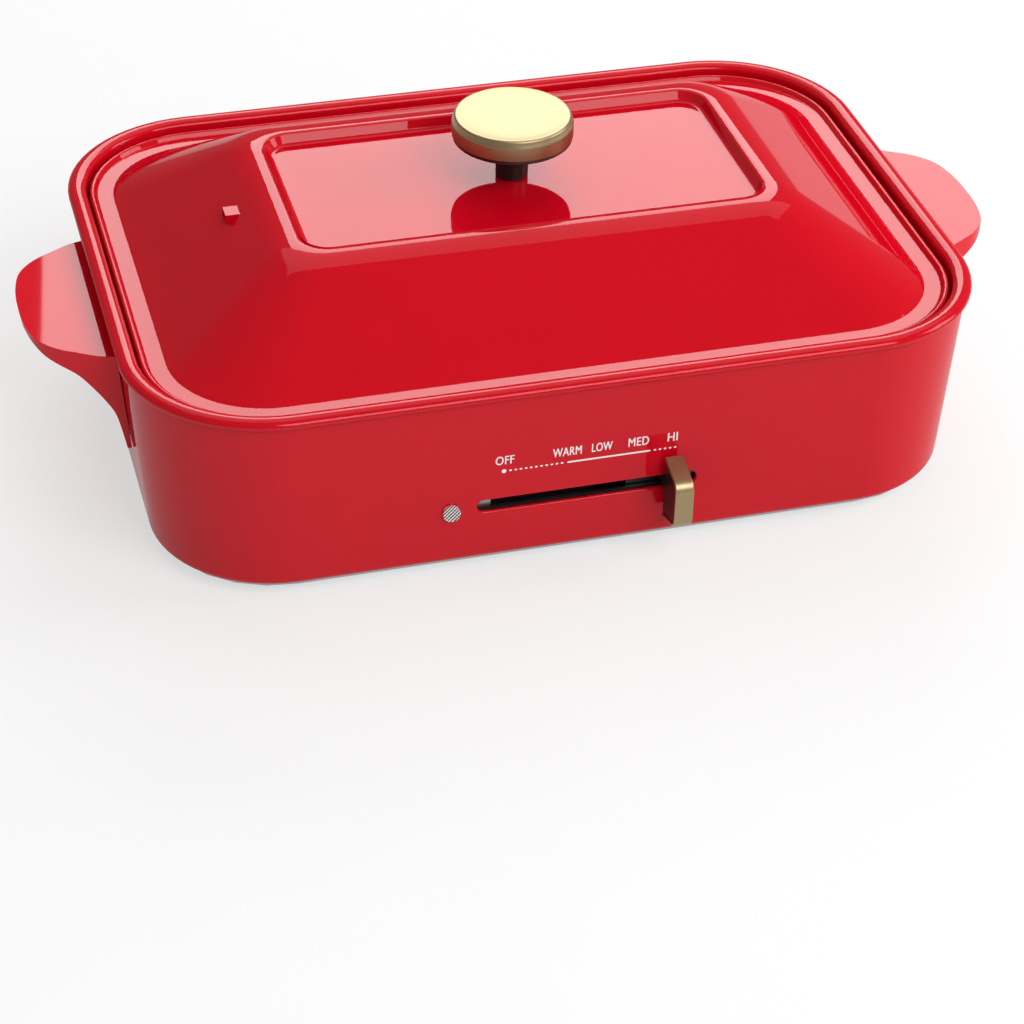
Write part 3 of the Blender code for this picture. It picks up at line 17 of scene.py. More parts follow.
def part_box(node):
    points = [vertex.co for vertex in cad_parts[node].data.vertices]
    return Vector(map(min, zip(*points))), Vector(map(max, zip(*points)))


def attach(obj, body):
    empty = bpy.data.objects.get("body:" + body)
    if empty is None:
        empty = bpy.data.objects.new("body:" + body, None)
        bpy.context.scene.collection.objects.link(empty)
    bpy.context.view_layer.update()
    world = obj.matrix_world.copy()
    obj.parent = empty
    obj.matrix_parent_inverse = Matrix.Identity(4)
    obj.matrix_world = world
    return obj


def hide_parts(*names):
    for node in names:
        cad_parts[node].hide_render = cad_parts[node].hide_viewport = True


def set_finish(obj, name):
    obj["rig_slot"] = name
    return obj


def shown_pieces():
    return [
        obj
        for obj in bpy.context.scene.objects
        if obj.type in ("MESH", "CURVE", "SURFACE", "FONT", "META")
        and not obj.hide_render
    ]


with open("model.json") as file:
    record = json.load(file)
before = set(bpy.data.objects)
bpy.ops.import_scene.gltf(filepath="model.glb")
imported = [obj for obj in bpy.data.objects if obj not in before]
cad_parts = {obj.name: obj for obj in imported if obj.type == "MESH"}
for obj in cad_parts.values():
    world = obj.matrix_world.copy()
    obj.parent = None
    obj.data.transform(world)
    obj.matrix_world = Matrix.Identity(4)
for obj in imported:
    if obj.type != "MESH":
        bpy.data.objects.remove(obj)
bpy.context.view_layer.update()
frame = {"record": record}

# %% [markdown]
# ## Where the cooker stands
#
# All outlines of the cooker are rounded rectangles round one upright line. The lever
# sticks out at the front, so that line is a little behind the middle of the whole box.
# It is read from the cooking plate, which is even on all sides.

# %% The cooker's own middle line
plate_low, plate_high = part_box("cooking_plate")
MIDDLE = Vector(((plate_low.x + plate_high.x) / 2, (plate_low.y + plate_high.y) / 2, 0))
# Half width, half depth and corner of the rim's widest line
RIM = (0.1596, 0.11329, 0.0536)
RIM_TOP = 0.0783
BODY_LOW = 0.005
WALL_TOP = RIM_TOP - 0.0037
print("middle line at", tuple(MIDDLE))

# %% [markdown]
# ## Working in edit mode
#
# A piece starts as a primitive and is then shaped in edit mode. Three small helpers do
# what the mouse does by hand: start a piece, pick points by their place, and close a piece
# by putting its place into its mesh and hanging it on the body that carries it.

# %% Start, pick and close
SAME_PLACE = 0.00001
SMOOTH_ANGLE = 40


def start(name, add, **sizes):
    """Adds a primitive under a new name and opens edit mode on it."""
    if bpy.context.mode != "OBJECT":
        bpy.ops.object.mode_set(mode="OBJECT")
    bpy.ops.object.select_all(action="DESELECT")
    add(**sizes)
    piece = bpy.context.object
    piece.name = name
    bpy.ops.object.mode_set(mode="EDIT")
    bpy.ops.mesh.select_mode(type="VERT")
    return piece


def start_empty(name):
    """Opens edit mode on a mesh with nothing in it yet."""
    piece = start(name, bpy.ops.mesh.primitive_plane_add, size=1)
    bpy.ops.mesh.delete(type="VERT")
    return piece


def pick(test, kind="VERT", border=False):
    """Selects points, edges or faces of the open mesh by a test on their middle."""
    bpy.ops.mesh.select_mode(type=kind)
    bpy.ops.mesh.select_all(action="DESELECT")
    mesh = bpy.context.edit_object.data
    shape = bmesh.from_edit_mesh(mesh)
    for part in {"VERT": shape.verts, "EDGE": shape.edges, "FACE": shape.faces}[kind]:
        corners = [part.co] if kind == "VERT" else [corner.co for corner in part.verts]
        if test(sum(corners, Vector()) / len(corners)) and not (border and not part.is_boundary):
            part.select_set(True)
    shape.select_flush_mode()
    bmesh.update_edit_mesh(mesh)


def pick_rings(*levels, border=False):
    """Selects the level rings of points at the given heights."""
    pick(lambda place: any(abs(place.z - level) < SAME_PLACE for level in levels), border=border)


def leave():
    """Closes edit mode and returns the piece, still selected."""
    bpy.ops.object.mode_set(mode="OBJECT")
    return bpy.context.object


def apply_step(piece, kind, **settings):
    """Adds a modifier, sets it and applies it."""
    bpy.ops.object.select_all(action="DESELECT")
    piece.select_set(True)
    bpy.context.view_layer.objects.active = piece
    step = piece.modifiers.new(kind.title(), kind)
    for key, value in settings.items():
        setattr(step, key, value)
    bpy.ops.object.modifier_apply(modifier=step.name)


def combine(piece, tool, operation="DIFFERENCE"):
    """Cuts or joins a piece with a tool, which is then thrown away."""
    apply_step(piece, "BOOLEAN", object=tool, operation=operation, solver="EXACT")
    bpy.data.objects.remove(tool, do_unlink=True)


def close(piece, body, slot, *nodes, angle=SMOOTH_ANGLE, weighted=True):
    """Puts the place into the mesh, smooths it, and hangs the piece on its body."""
    if bpy.context.mode != "OBJECT":
        bpy.ops.object.mode_set(mode="OBJECT")
    bpy.ops.object.select_all(action="DESELECT")
    piece.select_set(True)
    bpy.context.view_layer.objects.active = piece
    bpy.ops.object.transform_apply(location=True, rotation=True, scale=True)
    bpy.ops.object.shade_smooth_by_angle(angle=math.radians(angle))
    if weighted:
        apply_step(piece, "WEIGHTED_NORMAL", keep_sharp=True, weight=50)
    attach(piece, body)
    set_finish(piece, slot)
    if nodes:
        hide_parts(*nodes)
    columns = zip(*(point.co for point in piece.data.vertices))
    size = "x".join(f"{1000 * (max(column) - min(column)):.1f}" for column in columns)
    shape = bmesh.new()
    shape.from_mesh(piece.data)
    gaps = sum(1 for edge in shape.edges if not edge.is_manifold)
    shape.free()
    print(piece.name, size, "mm,", len(piece.data.polygons), "faces,", gaps, "gaps")
    return piece


# %% [markdown]
# ## Outlines and steps
#
# A pressed shell or a turned knob is the same kind of shape: one outline that steps inwards
# and up or down, over and over. By hand that is a face and the inset tool. So there is one
# helper for the outline of the cooker, one for a disc, and one that walks a face through a
# list of steps. Each step says how far in from the outline and how high.

# %% Outline, disc and walk
CORNER_STEPS = 16


def outline(half_x, half_y, corner, z):
    """Adds a rounded rectangle to the open mesh: a plane with bevelled corner points."""
    centre = Vector((MIDDLE.x, MIDDLE.y, z))
    bpy.ops.mesh.primitive_plane_add(size=2, location=centre)
    bpy.ops.transform.resize(value=(half_x, half_y, 1), center_override=centre)
    bpy.ops.mesh.bevel(offset=corner, segments=CORNER_STEPS, affect="VERTICES", profile=0.5)


def rim_outline(inset, z):
    """Adds the rim's outline, set in by a distance."""
    outline(RIM[0] - inset, RIM[1] - inset, RIM[2] - inset, z)


def walk(steps):
    """Insets the selected face along steps of (distance in from the outline, height)."""
    shape = bmesh.from_edit_mesh(bpy.context.edit_object.data)
    face = next(face for face in shape.faces if face.select)
    upward = 1 if face.normal.z > 0 else -1
    for (inset, z), (next_inset, next_z) in zip(steps, steps[1:]):
        bpy.ops.mesh.inset(
            thickness=next_inset - inset, depth=upward * (next_z - z), use_even_offset=True)


def turn_over():
    """Turns the selected face, so that its walk goes downwards."""
    bpy.ops.mesh.flip_normals()


def drop_face():
    """Opens the end of a walk."""
    bpy.ops.mesh.delete(type="ONLY_FACE")


def arc(middle, radii, first, last, steps):
    """Steps along an arc; angle 0 points in, 90 points up."""
    points = []
    for step in range(steps + 1):
        angle = math.radians(first + (last - first) * step / steps)
        points.append((middle[0] + radii[0] * math.cos(angle), middle[1] + radii[1] * math.sin(angle)))
    return points


def fuse(distance=SAME_PLACE):
    """Joins points that lie on each other and points all faces outwards."""
    bpy.ops.mesh.select_all(action="SELECT")
    bpy.ops.mesh.remove_doubles(threshold=distance)
    bpy.ops.mesh.normals_make_consistent(inside=False)


# %% [markdown]
# ## Body shell
#
# The body is one sheet of steel, drawn deep and painted. Its rim is rolled into a bead, and
# inside the bead a ledge carries the cooking plate. A box with bevels would be quicker, but
# the rim's roll is what catches the light, so the shell is walked: from the rim's widest
# line one face goes up over the bead and down to the ledge, and another goes down under it.
# The wall is a bridge to the smaller outline at the foot, whose corners are tighter. The
# inner skin is made the same way, one sheet's thickness further in, and both are joined at
# their two lips. Solidify would cross itself where the sheet folds tightly under the bead.

# %% Rim, ledge and foot as steps
SHEET = 0.0012
BEAD = (0.0035, 0.0022)
BEAD_ARC_STEPS = 14
BEAD_Z = RIM_TOP - BEAD[1]
LEDGE_Z = 0.067
LEDGE_INSET = 0.0125
LEDGE_LIP = 0.003
LEDGE_ROUND = 0.0014
FOOT_ROUND = 0.003
FOOT_OUTLINE = (0.15244, 0.10882, 0.04644)
FOOT_LIP = 0.014
WALL_LOOPS = 8
WALL_INSET = 0.0019


def skin(inner, under):
    """One skin of the shell: inner is 0 for the outside, or the sheet's thickness."""
    over = arc((BEAD[0], BEAD_Z), (BEAD[0] - inner, BEAD[1] - inner), 180, 0, BEAD_ARC_STEPS)
    radius = LEDGE_ROUND + inner
    over += arc((2 * BEAD[0] + LEDGE_ROUND, LEDGE_Z + LEDGE_ROUND), (radius, radius), 180, 270, 5)
    radius = LEDGE_ROUND - inner
    over += arc((LEDGE_INSET - LEDGE_ROUND, LEDGE_Z - LEDGE_ROUND), (radius, radius), 90, 0, 5)
    foot_z = BODY_LOW + FOOT_ROUND
    radius = FOOT_ROUND - inner
    foot = arc((radius, foot_z), (radius, radius), 180, 270, 6) + [(FOOT_LIP - inner, BODY_LOW + inner)]
    rim_outline(*over[0])
    walk(over + [(LEDGE_INSET - inner, LEDGE_Z - LEDGE_LIP + inner / 4)])
    drop_face()
    rim_outline(*under[0])
    turn_over()
    walk(under)
    drop_face()
    outline(*[length - inner for length in FOOT_OUTLINE], foot_z)
    turn_over()
    walk(foot)
    drop_face()
    pick_rings(under[-1][1], foot_z, border=True)
    bpy.ops.mesh.bridge_edge_loops(number_cuts=WALL_LOOPS, interpolation="LINEAR")


# %% Two skins joined at the lips
shell = start_empty("body_pressing")
skin(SHEET, [(SHEET, BEAD_Z), (0.0016, 0.0751), (0.0024, 0.0745), (WALL_INSET + SHEET, WALL_TOP - 0.0008)])
skin(0, arc((BEAD[0], BEAD_Z), BEAD, 180, 220, 4) + [(0.0013, WALL_TOP + 0.0001), (WALL_INSET, WALL_TOP)])
fuse()
FOOT_BAND = (0, 0.01)
LEDGE_BAND = (0.06, 0.07)
for low, high in (FOOT_BAND, LEDGE_BAND):
    pick(lambda place: low < place.z < high, border=True)
    bpy.ops.mesh.bridge_edge_loops()
fuse()
leave()
print("body wall:", len(shell.data.polygons), "faces")

# %% [markdown]
# ## Openings in the body
#
# The lever runs in a slot, the pilot lamp sits in a round hole, and the plug goes in at the
# back. Punched edges in painted steel are never knife sharp: paint and punch leave a small
# round. So each cutter is a bar with a flared mouth, and the cut gets that round for free.

# %% Cutters with a flared mouth
WALL_FOOT_Y = 0.1087
WALL_LEAN = math.atan2(RIM[1] - WALL_INSET - WALL_FOOT_Y, WALL_TOP - BODY_LOW)
SLOT_Z = 0.0284
LAMP_PLACE = (-0.0507, 0.0281)
INLET_X = 0.07
PUNCH_TOP = 0.004
PUNCH_DEPTH = 0.006
# Half width, half height and corner of each opening
SLOT_SIZE = (0.041, 0.0026, 0.0025)
LAMP_SIZE = (0.0028, 0.0028, 0.0026)
INLET_SIZE = (0.0203, 0.0103, 0.0005)
SLOT_FLARE = 0.0008


def wall_y(z, side=-1):
    """Where the outside of the front (side -1) or back wall is at a height."""
    return MIDDLE.y + side * (WALL_FOOT_Y + (z - BODY_LOW) * math.tan(WALL_LEAN))


def on_wall(x, z, side=-1, out=0):
    """Place and tilt that lay a shape drawn flat against the outside of the wall."""
    tilt = Matrix.Rotation(math.pi / 2 + WALL_LEAN, 4, "X")
    turn = Matrix.Rotation(math.pi if side > 0 else 0, 4, "Z")
    place = Matrix.Translation((MIDDLE.x + x, wall_y(z, side), z))
    return place @ turn @ tilt @ Matrix.Translation((0, 0, out))


def punch(x, z, half_x, half_z, corner, side=-1, flare=0.0004):
    """Bar through the front or back wall whose mouth flares like a punched, painted edge."""
    bar = start_empty("punch")
    mouth = (0, 0, PUNCH_TOP)
    bpy.ops.mesh.primitive_plane_add(size=2, location=mouth)
    bpy.ops.transform.resize(value=(half_x + flare, half_z + flare, 1), center_override=mouth)
    bpy.ops.mesh.bevel(offset=corner + flare, segments=12, affect="VERTICES", profile=0.5)
    walk([(0, PUNCH_TOP)] + arc((0, -flare), (flare, flare), 90, 0, 5) + [(flare, -PUNCH_DEPTH)])
    pick_rings(PUNCH_TOP)
    bpy.ops.mesh.edge_face_add()
    fuse()
    leave()
    bar.matrix_world = on_wall(x, z, side)
    return bar


combine(shell, punch(0, SLOT_Z, *SLOT_SIZE, flare=SLOT_FLARE))
combine(shell, punch(*LAMP_PLACE, *LAMP_SIZE))
combine(shell, punch(INLET_X, SLOT_Z, *INLET_SIZE, side=1))

# %% Bores for the handle screws and the base screws
SCREW_BORE = 0.0018
BORE_DEPTH = 0.008
HANDLE_SCREW = (0.1563, 0.022, 0.0561)
BASE_SCREW = (0.1437, 0.05, BODY_LOW)


def bore(x, y, z, radius, along):
    """Round cutter for a screw, along one of the axes."""
    turn = {"X": (0, math.pi / 2, 0), "Z": (0, 0, 0)}[along]
    place = (MIDDLE.x + x, MIDDLE.y + y, z)
    start("bore", bpy.ops.mesh.primitive_cylinder_add, radius=radius, depth=BORE_DEPTH, vertices=24,
          location=place, rotation=turn)
    return leave()


for side_x in (-1, 1):
    for side_y in (-1, 1):
        for (x, y, z), along in ((HANDLE_SCREW, "X"), (BASE_SCREW, "Z")):
            combine(shell, bore(side_x * x, side_y * y, z, SCREW_BORE, along))
close(shell, "base", "red_enamel", "body_shell")

# %% [markdown]
# ## Lid
#
# The lid is pressed from one sheet too. From its edge inwards it has a small bead, a flat
# gutter, a step, a straight slope that rounds over into a ridge, and a sunken panel. The
# gutter and the panel are insets of one face. The slope is a bridge between two outlines of
# different shape, cut into many even loops, and each loop is then lifted to the height that
# the real slope has there. That is easier to control than a subdivision surface, because
# the ridge keeps its exact radius.

# %% Edge, gutter and panel of the lid
LID_Z = 0.0706
GUTTER_Z = 0.0732
SLOPE_FOOT = (0.0191, 0.0742)
PANEL = (0.0896, 0.0448, 0.0127)
RIDGE_Z = 0.1028
SHOULDER = 0.021
PANEL_Z = RIDGE_Z - 0.00365
PANEL_ROUND = 0.0026
PANEL_FALL = math.radians(50)
LID_SHEET = 0.00115
lid = start_empty("lid_pressing")
rim_outline(0.0082, LID_Z)
edge = [(0.0082, LID_Z)] + arc((0.0092, 0.074), (0.001, 0.001), 180, 90, 5)
edge += arc((0.0094, 0.074), (0.001, 0.001), 90, 25, 5)
gutter = arc((0.0115, GUTTER_Z + 0.0006), (0.0006, 0.0006), 205, 270, 4)
gutter += arc((0.0172, GUTTER_Z + 0.0006), (0.0006, 0.0006), 270, 310, 4)
walk(edge + gutter + [(0.0187, 0.0741), SLOPE_FOOT])
drop_face()
outline(*PANEL, RIDGE_Z)
flank = (RIDGE_Z - PANEL_Z - 2 * PANEL_ROUND * (1 - math.cos(PANEL_FALL))) / math.tan(PANEL_FALL)
recess = arc((0, RIDGE_Z - PANEL_ROUND), (PANEL_ROUND, PANEL_ROUND), 90, 40, 6)
panel_foot = (2 * PANEL_ROUND * math.sin(PANEL_FALL) + flank, PANEL_Z + PANEL_ROUND)
walk(recess + arc(panel_foot, (PANEL_ROUND, PANEL_ROUND), 220, 270, 6))

# %% Slope and shoulder of the lid
LOOPS = 30
reach = RIM[0] - PANEL[0] - SLOPE_FOOT[0]
drop = RIDGE_Z - SHOULDER - SLOPE_FOOT[1]
slope_angle = math.atan2(drop, reach) + math.asin(SHOULDER / math.hypot(reach, drop))


def slope_height(share):
    """Height of the slope at a share of the way from the gutter to the ridge."""
    to_ridge = reach * (1 - share)
    if to_ridge < SHOULDER * math.sin(slope_angle):
        return RIDGE_Z - SHOULDER + math.sqrt(SHOULDER ** 2 - to_ridge ** 2)
    return SLOPE_FOOT[1] + reach * share * math.tan(slope_angle)


pick_rings(SLOPE_FOOT[1], RIDGE_Z)
bpy.ops.mesh.bridge_edge_loops(number_cuts=LOOPS, interpolation="LINEAR")
for loop in range(LOOPS, 0, -1):
    share = loop / (LOOPS + 1)
    level = SLOPE_FOOT[1] + (RIDGE_Z - SLOPE_FOOT[1]) * share
    pick_rings(level)
    bpy.ops.transform.translate(value=(0, 0, slope_height(share) - level))
fuse()
leave()
apply_step(lid, "SOLIDIFY", thickness=LID_SHEET, offset=-1, use_even_offset=True)
print("slope of", round(math.degrees(slope_angle), 1), "degrees")

# %% [markdown]
# ## Steam vent
#
# Steam leaves through a small pressed hood on the left slope: a level roof that juts out of
# the slope and opens downhill. It is a cube pushed into a wedge, joined to the lid, with a
# narrow passage cut under its roof.

# %% Hood and passage
def lid_slope_z(x):
    """Height of the left or right slope at a distance from the middle."""
    return slope_height((RIM[0] - abs(x) - SLOPE_FOOT[0]) / reach)


HOOD_LEFT = -0.1097
HOOD_RIGHT = -0.1041
HOOD_WIDTH = 0.0064
HOOD_EDGE = 0.0003
PASSAGE = (HOOD_RIGHT - HOOD_LEFT + 0.002, 0.004, 0.0014)
PASSAGE_DOWN = 0.0016
KNOB_BORE = 0.0023
NEAR = 0.001
hood_x = MIDDLE.x + (HOOD_LEFT + HOOD_RIGHT) / 2
roof = lid_slope_z(HOOD_RIGHT)
eave = lid_slope_z(HOOD_LEFT)
hood = start("hood", bpy.ops.mesh.primitive_cube_add, size=1, location=(0, 0, 0))
hood_low = eave - 0.0006
bpy.ops.transform.resize(value=(HOOD_RIGHT - HOOD_LEFT, HOOD_WIDTH, roof - hood_low))
bpy.ops.transform.translate(value=(hood_x, MIDDLE.y, (roof + hood_low) / 2))
pick(lambda place: place.z < roof - NEAR and place.x > hood_x)
bpy.ops.transform.translate(value=(0, 0, roof - eave))


def on_eave(place):
    """Whether an edge's middle is the upper edge that looks downhill."""
    level = abs(place.z - roof) < NEAR / 10
    return level and abs(place.y - MIDDLE.y) < NEAR and place.x < MIDDLE.x + HOOD_LEFT + NEAR


pick(on_eave, "EDGE")
bpy.ops.mesh.bevel(offset=HOOD_EDGE, segments=3)
leave()
combine(lid, hood, "UNION")
start("passage", bpy.ops.mesh.primitive_cube_add, size=1, location=(0, 0, 0))
bpy.ops.transform.resize(value=PASSAGE)
bpy.ops.transform.translate(value=(hood_x, MIDDLE.y, roof - PASSAGE_DOWN))
combine(lid, leave())
start("knob_bore", bpy.ops.mesh.primitive_cylinder_add, radius=KNOB_BORE, depth=BORE_DEPTH, vertices=32,
      location=(MIDDLE.x, MIDDLE.y, PANEL_Z))
combine(lid, leave())
close(lid, "lid", "red_enamel", "lid_shell")

# %% [markdown]
# ## Cooking plate
#
# The plate is a thick casting: a flange that rests on the ledge, a wall with draft and a wide
# round inside foot. It is walked twice from the flange's edge, up into the well and down
# round the underside. Solidify would give it one thickness all over, and a casting is
# thicker at its floor. The four fins under it are small wedges, joined on.

# %% Plate and fins
PLATE_LOW = 0.042
PLATE_SURFACE = 0.046
PLATE_SEAT = 0.0673
PLATE_TOP = 0.0703
PLATE_EDGE = 0.008
PLATE_WALL = 0.0155
PLATE_MOUTH = 0.0185
PLATE_HEEL = 0.0205
PLATE_FOOT = 0.0235
EDGE_ROUND = 0.0008
MOUTH_ROUND = 0.0028
WELL_ROUND = 0.009
HEEL_ROUND = 0.003
draft = math.atan2(PLATE_FOOT - PLATE_MOUTH, PLATE_TOP - PLATE_SURFACE)
level_draft = math.degrees(draft)
edge_low = (PLATE_EDGE, PLATE_SEAT + EDGE_ROUND)


def turn_in(radius):
    """How far from a corner a round's middle is when one side of the corner has draft."""
    return radius * math.tan((math.pi / 2 - draft) / 2)


def rounded(inset, z, radius, first, last, steps):
    """A round of one radius, as steps for a walk."""
    return arc((inset, z), (radius, radius), first, last, steps)


plate = start_empty("cooking_plate_cast")
rim_outline(*edge_low)
flange = rounded(PLATE_EDGE + EDGE_ROUND, PLATE_TOP - EDGE_ROUND, EDGE_ROUND, 180, 90, 4)
mouth_inset = PLATE_MOUTH - turn_in(MOUTH_ROUND)
flange += rounded(mouth_inset, PLATE_TOP - MOUTH_ROUND, MOUTH_ROUND, 90, level_draft, 6)
well_inset = PLATE_FOOT + turn_in(WELL_ROUND)
well = rounded(well_inset, PLATE_SURFACE + WELL_ROUND, WELL_ROUND, 180 + level_draft, 270, 10)
walk([edge_low] + flange + well)
rim_outline(*edge_low)
turn_over()
under = rounded(PLATE_EDGE + EDGE_ROUND, PLATE_SEAT + EDGE_ROUND, EDGE_ROUND, 180, 270, 4)
under += [(PLATE_WALL, PLATE_SEAT)]
heel_inset = PLATE_HEEL + turn_in(HEEL_ROUND)
walk(under + rounded(heel_inset, PLATE_LOW + HEEL_ROUND, HEEL_ROUND, 180 + level_draft, 270, 5))
fuse()
leave()
FIN_X = 0.08
FIN_EDGE = 0.0895
FIN_LOW = 0.0358
FIN_HIGH = 0.0432
FIN_THICKNESS = 0.0016
FIN_LENGTH = 0.0085
FIN_TIP = 0.0012
for side_x in (-1, 1):
    for side_y in (-1, 1):
        start("fin", bpy.ops.mesh.primitive_cube_add, size=1)
        bpy.ops.transform.resize(value=(FIN_THICKNESS, FIN_LENGTH, FIN_HIGH - FIN_LOW))
        pick(lambda place: place.z < 0 and place.y * side_y < 0)
        bpy.ops.transform.translate(value=(0, side_y * (FIN_LENGTH - FIN_TIP), 0))
        fin = leave()
        away = Vector((side_x * FIN_X, side_y * (FIN_EDGE - FIN_LENGTH / 2), (FIN_LOW + FIN_HIGH) / 2))
        fin.location = MIDDLE + away
        combine(plate, fin, "UNION")
close(plate, "plate", "nonstick_coating", "cooking_plate")

# %% [markdown]
# ## Knob
#
# The knob is turned: a gold cap with a dished top, a thin black ring under it and a black
# stem. A disc walks up and down just like the outlines did, only round. The cap's side has a
# soft crease where its crown begins, which reads as a dark line from above.

# %% Cap, ring and stem
TURN_STEPS = 96


def disc(radius, z, place=MIDDLE, steps=TURN_STEPS):
    """Adds a filled circle to the open mesh, facing up."""
    bpy.ops.mesh.primitive_circle_add(
        vertices=steps, radius=radius, fill_type="NGON", location=(place.x, place.y, z))


def turned(name, radius, z, upper, lower, place=MIDDLE, steps=TURN_STEPS):
    """Turned piece: from its widest line one face walks up and one walks down."""
    piece = start_empty(name)
    disc(radius, z, place, steps)
    walk([(0, z)] + [(radius - r, height) for r, height in upper])
    disc(radius, z, place, steps)
    turn_over()
    walk([(0, z)] + [(radius - r, height) for r, height in lower])
    fuse()
    leave()
    return piece


CAP_Z = 0.1164
CAP_RADIUS = 0.0227
SCREW_HOLE = 0.0043
# The crown as (radius, height over the cap's foot): a rounded lip round a dished middle
crown = [(CAP_RADIUS, 0.0052), (0.02258, 0.0056), (0.02236, 0.0061), (0.0221, 0.0068), (0.02198, 0.0073)]
crown += [(0.02185, 0.00765), (0.0216, 0.0079), (0.02125, 0.00805), (0.0208, 0.0081), (0.0203, 0.00807)]
crown += [(0.0195, 0.00797), (0.018, 0.00784), (0.015, 0.00774), (0.01, 0.0077), (0.004, 0.0077)]
cap_foot = [(CAP_RADIUS, 0.0004), (0.02258, 0.00012), (0.0223, 0), (SCREW_HOLE, 0), (SCREW_HOLE, 0.0039)]
cap = turned("knob_cap_turned", CAP_RADIUS, CAP_Z + 0.003,
             [(r, CAP_Z + z) for r, z in crown], [(r, CAP_Z + z) for r, z in cap_foot])
close(cap, "lid", "gold_satin", "knob_cap")
RING_RADIUS = 0.0223
RING_MIDDLE = 0.1156
RING_HALF = 0.0005
RING_EDGE = 0.00015


def ring_side(way):
    """Steps over the ring's upper side (way 1) or lower side (way -1), into its hole."""
    flat = RING_MIDDLE + way * RING_HALF
    path = [(RING_RADIUS, flat - way * RING_EDGE), (RING_RADIUS - RING_EDGE, flat)]
    return path + [(SCREW_HOLE, flat), (SCREW_HOLE, RING_MIDDLE)]


ring = turned("knob_ring_turned", RING_RADIUS, RING_MIDDLE, ring_side(1), ring_side(-1))
bpy.ops.object.mode_set(mode="EDIT")
pick(lambda place: (place - MIDDLE).to_2d().length < NEAR, "FACE")
bpy.ops.mesh.delete(type="FACE")
fuse()
close(ring, "lid", "black_plastic", "knob_ring")
STEM_Z = 0.09945
STEM_RADIUS = 0.0061
STEM_SHOULDER = STEM_Z + 0.01535
STEM_NECK = 0.004
STEM_HOLE = 0.0022
stem_top = [(STEM_RADIUS, STEM_SHOULDER - 0.00015), (STEM_RADIUS - 0.00015, STEM_SHOULDER)]
stem_top += [(STEM_NECK, STEM_SHOULDER), (STEM_NECK, STEM_Z + 0.0205)]
stem_foot = [(STEM_RADIUS, STEM_Z + 0.0003), (STEM_RADIUS - 0.0003, STEM_Z)]
stem_foot += [(STEM_HOLE, STEM_Z), (STEM_HOLE, STEM_Z + 0.0135)]
stem = turned("knob_stem_turned", STEM_RADIUS, STEM_Z + 0.008, stem_top, stem_foot, steps=64)
close(stem, "lid", "black_plastic", "knob_stem")

# %% [markdown]
# ## Handles
#
# Each handle is a moulded scoop. From above it is a wide, blunt tongue, and from the side
# it is thin at its lip and sweeps down along the wall. The two outlines are drawn as flat
# shapes, point by point, made solid and crossed with each other: what both have in common
# is the handle. Its edges are then rounded.

# %% Drawing a flat shape point by point
def draw(name, points, half_width):
    """Solid plate on the XY plane whose outline runs through the points."""
    solid = start_empty(name)
    bpy.ops.mesh.primitive_plane_add(size=0.001, location=(*points[0], -half_width))
    bpy.ops.mesh.merge(type="CENTER")
    for here, there in zip(points, points[1:]):
        step = (there[0] - here[0], there[1] - here[1], 0)
        bpy.ops.mesh.extrude_vertices_move(TRANSFORM_OT_translate={"value": step})
    bpy.ops.mesh.select_all(action="SELECT")
    bpy.ops.mesh.edge_face_add()
    bpy.ops.mesh.extrude_region_move(TRANSFORM_OT_translate={"value": (0, 0, 2 * half_width)})
    fuse()
    leave()
    return solid


def between(a, b, c, d, t):
    """Value at a share t of the way from b to c, on a smooth curve through four values."""
    bend = (2 * a - 5 * b + 4 * c - d) * t ** 2
    turn = (3 * b - a - 3 * c + d) * t ** 3
    return 0.5 * (2 * b + (c - a) * t + bend + turn)


def soft(points, parts=4):
    """Points of a smooth curve through the given ones."""
    path = [points[0]]
    padded = [points[0], *points, points[-1]]
    for four in zip(padded, padded[1:], padded[2:], padded[3:]):
        for step in range(1, parts + 1):
            path.append(tuple(between(*column, step / parts) for column in zip(*four)))
    return path


# %% Handles
HANDLE_TOP = 0.0676
HANDLE_HEIGHT = 0.0401
HANDLE_HALF = 0.042
WALL_FOOT_X = 0.1522
SIDE_LEAN = (0.1577 - WALL_FOOT_X) / (WALL_TOP - BODY_LOW)
HANDLE_GAP = 0.0003
PLAN_ROOT = 0.012
HANDLE_EDGE = 0.0011
SHARP = math.radians(50)
# Both outlines as shares of the handle's reach and its half width or height
PLAN = ((0, 1), (0.2, 0.955), (0.43, 0.862), (0.69, 0.74), (0.885, 0.56), (0.97, 0.33), (1, 0.1), (1, 0))
SWEEP = ((0.99, 0.045), (0.918, 0.072), (0.804, 0.13), (0.62, 0.187), (0.467, 0.249), (0.331, 0.357),
         (0.212, 0.481), (0.122, 0.621), (0.082, 0.8), (0.053, 1))


def wall_x(z):
    """Where a handle's root is at a height, just outside the side wall."""
    return WALL_FOOT_X + (z - BODY_LOW) * SIDE_LEAN + HANDLE_GAP


HANDLE_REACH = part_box("handle_right")[1].x - MIDDLE.x - wall_x(HANDLE_TOP) - SAME_PLACE


